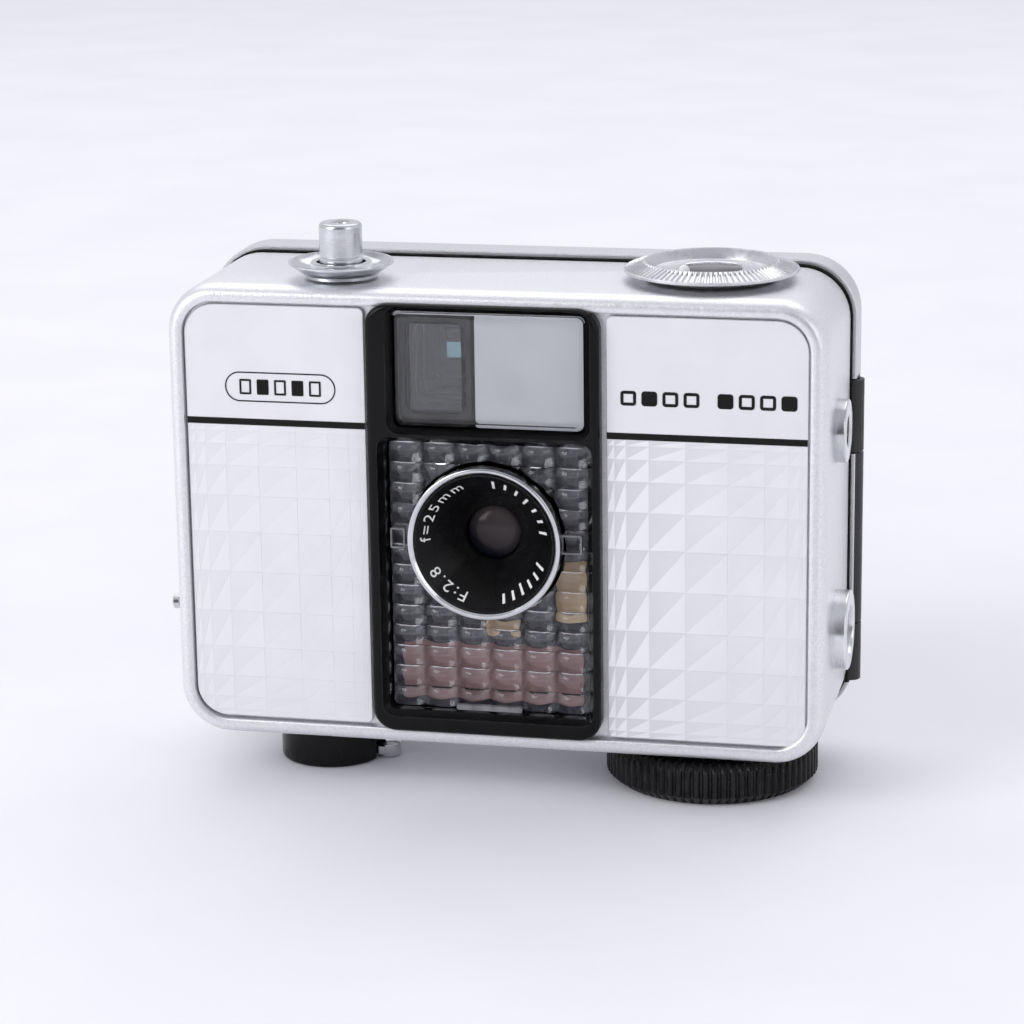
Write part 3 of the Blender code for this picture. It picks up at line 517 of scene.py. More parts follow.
def front_shell():
    """The drawn tray: its rim stands a little in front of the panels and rounds over outside."""
    half_w, half_h = SHELL_HIGH.x, SHELL_HIGH.z
    crest, rear = SHELL_LOW.y, SHELL_HIGH.y
    seat = half_w - PANEL_W - 0.22
    outside = [(RIM_ACROSS * (1 - math.sin(t)), crest + RIM_DEEP * (1 - math.cos(t))) for t in quarter(9)]
    profile = [(seat, FLOOR_FRONT), (seat, 0.05), (seat - 0.12, crest + 0.12), (seat - 0.3, crest),
               (1.45, crest), *outside, (0, rear - 0.3), (0.25, rear), (SHELL_WALL, rear),
               (SHELL_WALL, FLOOR_BACK)]

    def outline(inset):
        return rounded(-half_w + inset, half_w - inset, SHELL_LOW.z + inset, half_h - inset,
                       max(SHELL_CORNER - inset, 1.0))

    rings = front_rings(outline, profile)
    rings += front_rings(lambda inset: rounded(*FLOOR_HOLE, 2.0), ((0, FLOOR_BACK), (0, FLOOR_FRONT)))
    shell = piece("shell", loft(rings, closed=True), SATIN, replaces=("front_shell",), angle=40)
    top, bottom = (SHELL_HIGH.z - 2, SHELL_HIGH.z + 1), (SHELL_LOW.z - 1, SHELL_LOW.z + 2)
    right, left = (half_w - 2, half_w + 1), (-half_w - 1, 2 - half_w)
    holes = []
    for (node, radius), ends in zip(BORES, (top, top, bottom, bottom, right, right, left)):
        at = middle(node)
        axis, centre = ("Z", (at.x, at.y)) if ends in (top, bottom) else ("X", (at.y, at.z))
        holes.append(prism(axis, circle(*centre, radius, 48), *ends))
    carve(shell, *holes, angle=40)
    sheets = [prism("Y", rounded(x0, x1, -LINING_HALF_H, LINING_HALF_H, 2.0, 5), FLOOR_BACK + 0.05,
                    FLOOR_BACK + 0.2) for x0, x1 in LINING]
    piece("shell_lining", joined(*sheets), satin_black("inner_black", (0.6, 0.8), 0.006, 0.4, 0.02, 0.2))


def bulge(total, count, power, base):
    """Cell sizes that swell towards the middle of a row and add up to total."""
    weights = [math.sin(math.pi * (k + 0.5) / count) ** power + base for k in range(count)]
    return [total * weight / sum(weights) for weight in weights]


STRIPE_TOP, STRIPE_BOTTOM = 12.64, 11.78
FACET_RISE = 0.017  # lift of a facet's high corners for each mm of its size
FACET_ROOT, FACET_FACE = 0.2, -0.012  # y of its back and of its front
PANEL_BACK, PANEL_EDGE = 0.42, 0.08  # a panel's back face, and the bevel round its front
SEAM = 0.015  # round each facet
COLUMN_COUNT, ROW_COUNT = 9, 12
FADE_MM = 15.0  # the width over which the facets' painted shade and highlight die away, from a panel's left edge
# For each half of a cell: its grain, its corners as (right, up), and how far each one rises. The dark half
# gets painted shade, the light half painted highlight.
HALVES = {"dark": (0, ((0, 0), (1, 1), (0, 1)), (0.6, 0.6, -0.1)),
          "light": (1, ((0, 0), (1, 0), (1, 1)), (0.6, -0.1, 0.6))}


def panel(name, x0, x1, radii, node, lit_and_shaded_tones):
    """A thin plate: plain above, a black stripe, and diamond-cut facets below."""
    def outline(inset):
        corners = tuple(max(r - inset, 0.05) for r in radii)
        return rounded(x0 + inset, x1 - inset, inset - PANEL_H, PANEL_H - inset, corners, 10)

    plate = front_rings(outline, ((0, PANEL_BACK), (0, PANEL_EDGE), (PANEL_EDGE, 0)))
    piece(name, loft(plate, True, True), PANEL, replaces=(node,), angle=30)
    columns = bulge(x1 - x0 - 2 * PANEL_EDGE, COLUMN_COUNT, 3.0, 0.2)
    rows = bulge(STRIPE_BOTTOM + PANEL_H - PANEL_EDGE, ROW_COUNT, 1.5, 0.12)
    fade = world((x0, 0, 0)).x, world((x0 + FADE_MM, 0, 0)).x
    # Both halves are the same aluminium; the dark one is tinted with painted shade and the light one with
    # painted highlight, strongest at the panel's left edge.
    for (kind, (side, corners, rises)), tone in zip(HALVES.items(), lit_and_shaded_tones):
        material = panel_silver(f"{name}_{kind}", tone, side, fade)
        facets = bmesh.new()
        top = STRIPE_BOTTOM
        for height in rows:
            left = x0 + PANEL_EDGE
            for width in columns:
                x_at = left + SEAM * (1 + side), left + width - SEAM * (2 - side)
                z_at = top - height + SEAM, top - SEAM
                lift = FACET_RISE * (min(width, height) - 2 * SEAM)
                rings = ([facets.verts.new((x_at[i], FACET_ROOT, z_at[k])) for i, k in corners],
                         [facets.verts.new((x_at[i], FACET_FACE - lift * rise, z_at[k]))
                          for (i, k), rise in zip(corners, rises)])
                facets.faces.new(rings[0])
                facets.faces.new(reversed(rings[1]))
                for i, after in ((0, 1), (1, 2), (2, 0)):
                    facets.faces.new((rings[0][i], rings[1][i], rings[1][after], rings[0][after]))
                left += width
            top -= height
        obj = piece(f"{name}_facets_{kind}", facets, material, angle=5)
        carve(obj, prism("Y", outline(PANEL_EDGE), -1.0, 1.0), operation="INTERSECT", angle=5)
    stripe = rounded(x0 + 0.02, x1 - 0.02, STRIPE_BOTTOM, STRIPE_TOP, 0.05, 2)
    piece(f"{name}_stripe", prism("Y", stripe, -0.035, 0.2), INK)


def front_panels():
    left_inner, right_inner = (LEFT_HIGH.x - ORIGIN.x) / MM, (RIGHT_LOW.x - ORIGIN.x) / MM
    # The last pair: painted shade for the dark halves, painted highlight for the light halves.
    panel("plate_left", -PANEL_W, left_inner, (0.8, 4.0, 4.0, 0.8), "left_panel", (0.95, 1.02))
    panel("plate_right", right_inner, PANEL_W, (4.0, 0.8, 0.8, 1.3), "right_panel", (0.84, 1.10))


# ---- centre frame ----
FRAME_LOW, FRAME_HIGH = span("centre_frame")
WINDOW_LOW, WINDOW_HIGH = span("finder_window")
ARRAY_LOW, ARRAY_HIGH = span("lens_array_window")
FIT = 0.3  # the gap that the CAD leaves round each fitted window
FRAME_CORNER, FRAME_EDGE, WINDOW_CORNER = 3.0, 0.75, 0.9


def centre_frame():
    """The black moulding that holds the finder and the light cell's window."""
    front, back = FRAME_LOW.y, FRAME_HIGH.y
    r = FRAME_EDGE
    profile = [(0, back), (0, front + r)]
    profile += [(r - r * math.cos(t), front + r - r * math.sin(t)) for t in quarter(6)]
    rings = front_rings(lambda inset: around(FRAME_LOW, FRAME_HIGH, -inset, FRAME_CORNER - inset), profile)
    moulding = piece("front_frame", loft(rings, True, True), GLOSS_BLACK, replaces=("centre_frame",),
                     angle=35)
    slope = ((r + 0.3, front - 0.6), (r * 0.9, front + 0.05), (0, front + 0.9), (0, back + 1))
    carve(moulding, *[loft(front_rings(lambda grow: around(low, high, FIT + grow, WINDOW_CORNER + grow, 6),
                                       slope), True, True)
                      for low, high in ((WINDOW_LOW, WINDOW_HIGH), (ARRAY_LOW, ARRAY_HIGH))], angle=35)


TUNNEL_WALL, TUNNEL_END = 0.5, 2.1  # wall, and half the width of the narrow end
# Shares of the tunnel's depth, and of its narrowing there.
TUNNEL_STAGES = ((0.0, 0.10), (0.22, 0.13), (0.30, 0.35), (0.52, 0.40), (0.62, 0.62), (0.80, 0.68),
                 (0.9, 1.0), (1.0, 1.0))
TUNNEL_STEPS = ((0.06, 0.06), (0.27, 0.24), (0.46, 0.38), (0.66, 0.52), (0.84, 0.70))


def finder():
    """A clear bevelled window in front of a frosted light plate and the finder's funnel."""
    front = WINDOW_LOW.y + 0.1
    profile = [(0, WINDOW_HIGH.y), (0, front + 0.5), (0.4, front + 0.1), (0.5, front)]
    rings = front_rings(lambda inset: around(WINDOW_LOW, WINDOW_HIGH, -inset,
                                             max(WINDOW_CORNER - inset * 0.4, 0.3), 6), profile)
    piece("finder_glass", loft(rings, True, True), FINDER_CLEAR, replaces=("finder_window",))

    low, high = span("finder_light_plate")
    frosted = paint("frosted_plate", (0.88, 0.885, 0.90), (0.92, 0.925, 0.935), (0.45, 0.6), 9, grain=0.5)
    piece("light_plate", prism("Y", around(low, high, 0, 0.5, 5), low.y, high.y), frosted,
          replaces=("finder_light_plate",))

    low, high = span("finder_tunnel")
    eye, wide = middle("eyepiece_lens"), (low + high) / 2
    start = (wide.x, wide.z, (high.x - low.x) / 2 - TUNNEL_WALL, (high.z - low.z) / 2 - TUNNEL_WALL)
    end = (eye.x, eye.z, TUNNEL_END, TUNNEL_END)

    def opening(closed_in, roundness):
        """The tunnel's outline this far between its wide front and its narrow end."""
        x, z, half_w, half_h = (a + (b - a) * closed_in for a, b in zip(start, end))
        return rounded(x - half_w, x + half_w, z - half_h, z + half_h, min(half_w, half_h) * roundness, 8)

    def depth(share):
        return low.y + (high.y - low.y) * share

    rings = [[(x, depth(deep), z) for x, z in opening(closed_in, 0.45 - 0.2 * closed_in)]
             for deep, closed_in in TUNNEL_STAGES]
    sleeve = TUNNEL_END + TUNNEL_WALL
    for t in (1, 0):
        x0, x1 = low.x + (eye.x - sleeve - low.x) * t, high.x + (eye.x + sleeve - high.x) * t
        z0, z1 = low.z + (eye.z - sleeve - low.z) * t, high.z + (eye.z + sleeve - high.z) * t
        rings.append([(x, depth(t), z) for x, z in rounded(x0, x1, z0, z1, 1.2, 8)])
    back = high.y - 0.25
    wall = paint("rear_wall", (0.03, 0.026, 0.028), (0.05, 0.045, 0.048), (0.2, 0.3), 2.0)
    piece("finder_rear_wall", prism("Y", around(eye, eye, 2.2, 0.4, 4), back - 0.3, back), wall)
    # The rear lens glows: painted light for the daylight seen through the eyepiece.
    painted_daylight = paint("finder_painted_glow", (0.30, 0.52, 0.62), (0.38, 0.60, 0.68), (0.3, 0.4), 1.5)
    adjust(painted_daylight, Emission_Color=(0.32, 0.55, 0.66, 1), Emission_Strength=0.35)
    x, z = eye.x - 1.2, eye.z - 0.9
    piece("finder_rear_lens", prism("Y", rounded(x - 0.95, x + 0.95, z - 1.0, z + 1.0, 0.1, 3), back - 0.55,
                                    back - 0.32), painted_daylight)
    # The step ledges are lighter grey than the funnel: painted highlight where the ledges catch the light.
    steps = [outline_band(opening(closed_in, 0.42), 0.3, depth(deep), depth(deep) + 0.35)
             for deep, closed_in in TUNNEL_STEPS]
    piece("finder_steps", joined(*steps),
          paint("step_highlight_grey", (0.05, 0.046, 0.047), (0.08, 0.074, 0.076), (0.15, 0.25), 2.0))
    brown = paint("funnel_brown", (0.014, 0.012, 0.012), (0.034, 0.030, 0.031), (0.16, 0.26), 2.5)
    adjust(brown, Specular_IOR_Level=0.25)
    piece("finder_funnel", loft(rings, closed=True), brown, replaces=("finder_tunnel",))


# ---- light cell ----
COLUMNS, ROWS = 6, 13
SWELL = 1.45  # how far a small lens stands out
SHOULDER = 0.34  # the rounded share of its height, at its top edge
CELL_HOLE = 10.3  # the lens's opening through the window and the cell


def vertices(elements):
    return [v for v in elements if isinstance(v, bmesh.types.BMVert)]


def lens_hole(extra=0.0):
    return prism("Y", circle(LENS.x, LENS.z, CELL_HOLE + extra, 96), -3, 4)


def lens_array():
    """Shingled rows of small lenses: each bulges across, and its top edge stands proud."""
    x0, x1, z0, z1 = ARRAY_LOW.x, ARRAY_HIGH.x, ARRAY_LOW.z, ARRAY_HIGH.z
    back, valley = ARRAY_HIGH.y, ARRAY_LOW.y + 1.5
    width, height = (x1 - x0) / COLUMNS, (z1 - z0) / ROWS
    across = [i / 10 for i in range(11)]
    down = (0.0, 0.04, 0.1, 0.17, 0.25, 0.34, 0.5, 0.7, 0.87, 1.0)
    bm = bmesh.new()
    grid = {}

    def vertex(column, u, row, v, y):
        x, z = x0 + (column + u) * width, z1 - (row + v) * height
        key = (round(x, 4), round(z, 4), round(y, 4))
        if key not in grid:
            grid[key] = bm.verts.new((x, y, z))
        return grid[key]

    def surface(u, v):
        bulged = 0.12 + 0.88 * (1 - (2 * u - 1) ** 2)
        if v < SHOULDER:
            rise = 0.45 + 0.55 * math.sqrt(1 - ((SHOULDER - v) / SHOULDER) ** 2)
        else:
            rise = 1 - 0.66 * ((v - SHOULDER) / (1 - SHOULDER)) ** 1.4
        return valley - SWELL * bulged * rise

    for row in range(ROWS):
        for column in range(COLUMNS):
            for u, next_u in zip(across, across[1:]):
                for v, next_v in zip(down, down[1:]):
                    quad = [(u, v), (next_u, v), (next_u, next_v), (u, next_v)]
                    bm.faces.new([vertex(column, a, row, b, surface(a, b)) for a, b in quad])
                above = [vertex(column, k, row, 0, surface(k, 0)) for k in (u, next_u)]
                below = [vertex(column, k, row, 0, surface(k, 1) if row else valley) for k in (next_u, u)]
                ledge = list(dict.fromkeys(above + below))
                if len(ledge) > 2:
                    bm.faces.new(ledge)
    bmesh.ops.holes_fill(bm, edges=[e for e in bm.edges if e.is_boundary], sides=4)
    rim = [e for e in bm.edges if e.is_boundary]
    extruded = bmesh.ops.extrude_edge_only(bm, edges=rim)["geom"]
    for vert in vertices(extruded):
        vert.co.y = back
    bmesh.ops.holes_fill(bm, edges=[e for e in bm.edges if e.is_boundary], sides=0)
    window = piece("cell_window", bm, CLEAR, replaces=("lens_array_window",), angle=25)
    carve(window, lens_hole(), angle=25)


def light_cell():
    low, high = span("selenium_cell")
    slate = paint("cell_slate", (0.050, 0.050, 0.062), (0.085, 0.085, 0.10), (0.2, 0.35), 4)
    plate = piece("cell_plate", prism("Y", around(low, high, 0, 0.6, 5), low.y, high.y), slate,
                  replaces=("selenium_cell",))
    carve(plate, lens_hole())
    rose = paint("cell_rose", (0.30, 0.17, 0.17), (0.38, 0.22, 0.215), (0.3, 0.45), 3)
    tan = paint("cell_tan", (0.62, 0.42, 0.24), (0.72, 0.52, 0.32), (0.3, 0.45), 2.5)
    face = low.y - 0.12
    for name, area, material in (("cell_rose_strip", (-12.2, 10.9, -23.7, -16.1), rose),
                                 ("cell_tan_strip", (8.1, 11.4, -12.7, -4.6), tan),
                                 ("cell_tan_tab", (-1.7, 2.7, -15.2, -12.8), tan)):
        strip = piece(name, prism("Y", rounded(*area, 0.3, 3), face, low.y - 0.02), material)
        if name == "cell_tan_strip":
            carve(strip, lens_hole(0.1))
    front, back = ARRAY_LOW.y - 0.15, ARRAY_LOW.y + 0.6
    clips = [outline_band(rounded(*area, 0.2, 3), 0.22, front, back)
             for area in ((-13.3, -11.4, -3.5, -0.8), (8.9, 11.6, -3.3, -0.8))]
    bar = rounded(-5.0, 3.6, ARRAY_LOW.z + 0.1, ARRAY_LOW.z + 0.75, 0.2, 3)
    clips.append(prism("Y", bar, ARRAY_LOW.y - 0.1, back))
    grey = paint("clip_grey", (0.13, 0.13, 0.14), (0.22, 0.22, 0.23), (0.1, 0.2), 1.5)
    piece("cell_window_clips", joined(*clips), grey)


# ---- lens ----
CONE_OUTER, CONE_INNER = Vector((8.9, -1.85)), Vector((3.85, 3.9))  # (radius, y)
GLASS_RADIUS, DOME_DEEP = 3.58, 1.5
MARK_HALF, MARK_END = 1.3, 0.86  # half a mark's width in degrees, and its outer end


def lens():
    centre, radius, low, high = round_part("lens_ring", "Y")
    ring = [(9.2, high.y), (radius, high.y), (radius, low.y + 0.25),
            *arc(radius - 0.25, low.y + 0.25, 0.25, 0, -90, 4), (9.45, low.y), (9.2, low.y + 0.22)]
    piece("lens_rim", lathe("Y", centre, ring, 128), CHROME, replaces=("lens_ring",))
    back = span("lens_cone")[1].y
    cone = [(9.15, back), (9.15, CONE_OUTER.y + 0.15), (9.05, CONE_OUTER.y)]
    cone += [tuple(CONE_OUTER.lerp(CONE_INNER, i / 10)) for i in range(11)]
    cone += [(3.6, 4.2), (3.6, back)]
    piece("lens_funnel", lathe("Y", centre, cone, 128), gloss_black("lens_black", (0.2, 0.3), 0.006),
          replaces=("lens_cone",), angle=40)
    front, back = (corner.y for corner in span("front_element"))
    crest = front - 1.1
    dome = [(0, crest)]
    dome += [(GLASS_RADIUS * math.sin(t), crest + DOME_DEEP * (1 - math.cos(t))) for t in quarter(12)]
    dome += [(GLASS_RADIUS, back), (0, back)]
    piece("front_lens", lathe("Y", centre, dome, 96), FRONT_GLASS, replaces=("front_element",))


def on_cone(angle, out):
    """A point on the cone's face: angle clockwise from the top in degrees, out along its slope."""
    radius, y = CONE_INNER.lerp(CONE_OUTER, out)
    turn = math.radians(90 - angle)
    return Vector((LENS.x + radius * math.cos(turn), y - 0.02, LENS.z + radius * math.sin(turn)))


def raise_marks(bm):
    """Give flat marks on the cone a little thickness."""
    made = bmesh.ops.extrude_face_region(bm, geom=list(bm.faces))["geom"]
    for vert in vertices(made):
        vert.co.y -= 0.05


def engrave(name, text, angle, size=2.35, out=0.79):
    """Generic lens figures wrapped round the cone."""
    curve = bpy.data.curves.new(name, "FONT")
    curve.body = text
    curve.size = size
    curve.align_x = "CENTER"
    curve.resolution_u = 3
    curve.space_character = 1.3
    text_obj = bpy.data.objects.new(name + "_text", curve)
    bpy.context.scene.collection.objects.link(text_obj)
    bpy.context.view_layer.update()
    mesh = bpy.data.meshes.new_from_object(text_obj.evaluated_get(bpy.context.evaluated_depsgraph_get()))
    bm = bmesh.new()
    bm.from_mesh(mesh)
    bpy.data.objects.remove(text_obj)
    bpy.data.curves.remove(curve)
    bpy.data.meshes.remove(mesh)
    slope = (CONE_OUTER - CONE_INNER).length
    radius = CONE_INNER.lerp(CONE_OUTER, out).x
    middle_v = size * 0.35
    for vert in bm.verts:
        turned = angle + math.degrees(vert.co.x / radius)
        vert.co = on_cone(turned, out + (vert.co.y - middle_v) / slope)
    raise_marks(bm)
    piece(name, bm, WHITE_INK, angle=20)


def engravings():
    engrave("focal_figures", "f=25mm", 303)
    engrave("aperture_figures", "F:2.8", 220)
    for group, start, count, step in (("upper", 8, 7, 11.8), ("lower", 113, 6, 10)):
        marks = []
        for i in range(count):
            root = 0.66 if i % 3 else 0.6
            bm = bmesh.new()
            bm.faces.new([bm.verts.new(on_cone(start + i * step + side * MARK_HALF, out))
                          for side, out in ((-1, root), (1, root), (1, MARK_END), (-1, MARK_END))])
            raise_marks(bm)
            marks.append(bm)
        piece(f"ring_marks_{group}", joined(*marks), WHITE_INK, angle=20)


# ---- marks on the panels ----
def outline_band(outline, width, front, back):
    """A closed band that follows an outline given as (x, z) points."""
    count = len(outline)
    inner = []
    for i, (x, z) in enumerate(outline):
        before, after = outline[i - 1], outline[(i + 1) % count]
        along = Vector((after[0] - before[0], after[1] - before[1])).normalized()
        inner.append((x - along.y * width, z + along.x * width))
    corners = ((outline, back), (outline, front), (inner, front), (inner, back))
    return loft([[(x, y, z) for x, z in ring] for ring, y in corners], closed=True)


BADGE_DEPTH = (-0.05, 0.1)  # front and back


def film_frames(lefts, width, z, half_h, corner, band, solid):
    """Small frame boxes in a row, filled where `solid` says so and outlined elsewhere."""
    boxes = [rounded(left, left + width, z - half_h, z + half_h, *corner) for left in lefts]
    return [prism("Y", box, *BADGE_DEPTH) if solid(i) else outline_band(box, band, *BADGE_DEPTH)
            for i, box in enumerate(boxes)]


def badges():
    """A plain film-frame badge on the left and a strip of half frames on the right."""
    x, z, half_w, half_h = -27.5, 16.8, 7.3, 1.95
    pill = rounded(x - half_w, x + half_w, z - half_h, z + half_h, half_h - 0.01, 12)
    frames = film_frames([x + (i - 2) * 2.3 - 0.78 for i in range(5)], 1.56, z, 1.0, (0.15, 2), 0.26,
                         lambda i: i % 2)
    piece("badge_left", joined(outline_band(pill, 0.17, *BADGE_DEPTH), *frames), INK)
    lefts = [16.5 + i * 2.65 + (1.6 if i > 3 else 0.0) for i in range(8)]
    frames = film_frames(lefts, 2.0, 17.1, 0.95, (0.4, 3), 0.4, lambda i: i % 3 == 1)
    piece("badge_right", joined(*frames), INK)


# ---- top ----
DIAL_RIBS, KNOB_RIBS = 88, 72


def shutter_button():
    centre, radius, low, high = round_part("button_dish")
    top = high.z
    dish = [(3.2, low.z), (4.7, low.z), (4.8, low.z + 0.35), (radius - 0.6, top - 0.75),
            (radius - 0.1, top - 0.4), (radius, top - 0.28), (radius, top - 0.1), (radius - 0.1, top),
            (radius - 0.3, top), (radius - 0.7, top - 0.45), (5.3, top - 1.05), (4.0, top - 1.3),
            (3.95, top - 0.25), (3.8, top - 0.1), (3.3, top - 0.1), (3.2, top - 0.25)]
    piece("button_cup", lathe("Z", centre, dish, 96), CHROME, replaces=("button_dish",))
    axis, radius, low, high = round_part("shutter_button")
    top = high.z
    button = [(0, low.z), (1.2, low.z), (1.2, top - 6.2), (radius - 0.15, top - 6.2), (radius, top - 6.0),
              (radius, top - 4.55), (radius - 0.12, top - 4.45), (radius - 0.12, top - 4.35),
              (radius, top - 4.25), (radius, top - 0.55), *arc(radius - 0.55, top - 0.55, 0.55, 0, 90, 6),
              (1.35, top), (1.2, top - 0.15), (1.0, top - 0.5), (1.0, top - 3.0), (0, top - 3.3)]
    piece("release_button", lathe("Z", axis, button, 80),
          machined("turned_chrome", (0.66, 0.67, 0.70), "Z"), "button", ("shutter_button",))


def top_dial():
    centre, radius, low, high = round_part("aperture_dial")
    top = high.z
    profile = [(4.35, low.z), (8.4, low.z), (9.2, top - 1.45), (radius - 0.1, top - 1.35),
               (radius, top - 1.25), (radius, top - 0.98), (radius - 0.12, top - 0.88),
               ("rib", radius - 0.22, top - 0.86), ("rib", radius - 1.3, top - 0.42),
               ("rib", 8.75, top - 0.06), (8.6, top), (8.4, top - 0.02), (8.1, top - 0.3),
               (7.55, top - 1.3), (7.3, top - 1.42), (4.6, top - 1.5), (4.35, top - 1.5)]
    bm = ribbed_lathe(centre, profile, DIAL_RIBS, [(0, 0), (0, 0), (0, 0.30), (0, 0.30)])
    dial_chrome = chrome("dial_chrome", (0.66, 0.66, 0.68), (0.24, 0.36))
    piece("dial_ring", bm, dial_chrome, "dial", ("aperture_dial",), angle=25)
    low, high = span("counter_window")
    window = [(0, low.z), (3.85, low.z), (3.95, high.z - 0.1), (3.8, high.z), (1.6, high.z + 0.12),
              (0, high.z + 0.16)]
    smoked = paint("smoked_window", (0.045, 0.045, 0.05), (0.07, 0.07, 0.078), (0.06, 0.12), 3)
    piece("dial_window", lathe("Z", centre, window, 80), smoked, "dial", ("counter_window",))
    collar = [(3.95, low.z), (4.35, low.z), (4.35, high.z - 0.1), (4.2, high.z), (3.95, high.z - 0.1)]
    piece("dial_collar", lathe("Z", centre, collar, 80), CHROME, "dial")
    spot, radius, low, high = round_part("dial_index")
    bead = [(0, low.z - 1.1), (radius, low.z - 1.1), *arc(0, low.z, radius, 0, 80, 6), (0, low.z + radius)]
    white = paint("bead_white", (0.75, 0.75, 0.76), (0.85, 0.85, 0.85), (0.15, 0.3))
    piece("dial_bead", lathe("Z", spot, bead, 32), white, "dial", ("dial_index",))


WIRE = 0.16  # half the wire's thickness
COIL_TURNS, COIL_STEPS = 3, 28


def button_spring():
    """The coil under the button, built as one fixed coil; the real one closes up as the button goes down."""
    (coil_x, coil_y), outside, low, high = round_part("button_spring")
    radius = outside - WIRE
    rings = []
    for i in range(COIL_TURNS * COIL_STEPS + 1):
        angle = 2 * math.pi * i / COIL_STEPS
        z = low.z + WIRE + (high.z - low.z - 2 * WIRE) * i / (COIL_TURNS * COIL_STEPS)
        out = Vector((math.cos(angle), math.sin(angle), 0))
        hub = Vector((coil_x, coil_y, z)) + out * radius
        rings.append([hub + out * u + Vector((0, 0, v)) for u, v in circle(0, 0, WIRE, 8)])
    spring = piece("release_spring", loft(rings, True, True),
                   machined("spring_steel", (0.55, 0.55, 0.57), "Z"), replaces=("button_spring",), angle=60)
    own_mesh(spring)


# ---- knobs ----
def winding_knob():
    centre, radius, low, high = round_part("winding_knob")
    bottom, top = low.z, high.z
    profile = [(3.7, bottom + 1.9), (3.7, bottom + 0.15), (3.85, bottom), (radius - 1.7, bottom),
               (radius - 1.2, bottom + 0.1), ("rib", radius - 0.55, bottom + 0.6),
               ("rib", radius, bottom + 1.1), ("rib", radius, top - 0.9), ("rib", radius - 0.5, top - 0.25),
               (radius - 1.1, top), (3.2, top), (3.2, bottom + 1.9)]
    bm = ribbed_lathe(centre, profile, KNOB_RIBS, [(depth, 0) for depth in (0, 0, 0.12, 0.42, 0.42, 0.12)])
    piece("winding_wheel", bm, satin_black("knob_black", (0.22, 0.36), 0.004, 0.5, 0.008, 0.25), "winder",
          ("winding_knob",), angle=30)


def rewind_knob():
    centre, radius, low, high = round_part("rewind_knob")
    bottom, top = low.z, high.z
    body = [(0, bottom), (radius - 0.5, bottom), *arc(radius - 0.5, bottom + 0.5, 0.5, -90, 0, 5),
            (radius, top - 0.6), *arc(radius - 0.4, top - 0.4, 0.4, 0, 90, 4), (0, top)]
    black = satin_black("rewind_black", (0.18, 0.3), 0.003, 0.5, 0.008, 0.2)
    knob = piece("rewind_wheel", lathe("Z", centre, body, 96), black, "rewind", ("rewind_knob",))
    crank_low, crank_high = span("rewind_crank")
    half = (crank_high.y - crank_low.y) / 2 + 0.8
    slot = rounded(crank_low.x - 0.8, centre[0] + radius + 2, centre[1] - half, centre[1] + half, 0.5, 4)
    carve(knob, prism("Z", slot, bottom - 1, bottom + 2.6))
    arm_half = 1.5
    arm = rounded(crank_low.x, crank_high.x - 1.2, centre[1] - arm_half, centre[1] + arm_half, 0.9, 6)
    arm_low, arm_high = bottom + 0.6, bottom + 1.6
    grip_x = crank_high.x - arm_half
    grip = [(0, bottom + 0.05), (1.2, bottom + 0.05), (arm_half, bottom + 0.3), (arm_half, arm_high + 0.25),
            (1.0, arm_high + 0.4), (0, arm_high + 0.4)]
    piece("crank_arm", joined(prism("Z", arm, arm_low, arm_high), lathe("Z", (grip_x, centre[1]), grip, 40)),
          CHROME, "crank", ("rewind_crank",))


# ---- sockets and door ----
def sockets():
    wall = SHELL_HIGH.x - 0.1
    centre, radius, low, high = round_part("tripod_socket", "X")
    face = high.x
    ridges = []
    for i in range(5):
        crest = face - 0.7 - i * 0.75
        ridges += [(3.2, crest), (3.45, crest - 0.35)]
    tripod = [(3.35, face), (3.2, face - 0.3), *ridges, (3.2, low.x), (4.6, low.x), (4.6, wall),
              (radius, wall), (radius, face - 0.35), *arc(radius - 0.3, face - 0.3, 0.3, 0, 90, 5)]
    piece("tripod_bush", lathe("X", centre, tripod, 80), machined("bush_steel", (0.80, 0.81, 0.84), "X"),
          replaces=("tripod_socket",))
    cap = [(0, low.x + 0.3), (0, low.x + 0.05), (3.18, low.x + 0.05), (3.18, low.x + 0.3)]
    piece("tripod_bush_cap", lathe("X", centre, cap, 48), satin_black("cap_black", (0.4, 0.55), 0.012))
    centre, radius, low, high = round_part("sync_socket", "X")
    face = high.x
    sync = [(1.55, low.x), (2.4, low.x), (2.4, wall), (radius, wall), (radius, face - 0.3),
            *arc(radius - 0.25, face - 0.25, 0.25, 0, 90, 4), (2.2, face), (2.0, face - 0.2),
            (2.0, face - 1.0), (1.55, face - 1.0)]
    piece("flash_bush", lathe("X", centre, sync, 80), CHROME, replaces=("sync_socket",))


DOOR_CORNER, DOOR_WALL = 7.2, 1.3
DOOR_ROUNDING = 2.9  # round its back
HINGE_RADIUS = 1.5
HINGE_SPLITS = (-17.8, 5.4)  # the door's knuckle lies between these heights
LATCH_SLOT = (25.6, 29.1, -5.2, 5.2)  # y and z
HIDE_BORDER = 4.4  # bare metal round the leather
EYE_HALF_W, EYE_HALF_H = 3.4, 3.2  # the opening for the eyepiece


def eye_hole():
    """The opening for the eyepiece through the door."""
    eye = middle("eyepiece_lens")
    return prism("Y", rounded(eye.x - EYE_HALF_W, eye.x + EYE_HALF_W, eye.z - EYE_HALF_H, eye.z + EYE_HALF_H,
                              0.6, 5), 28, 33)


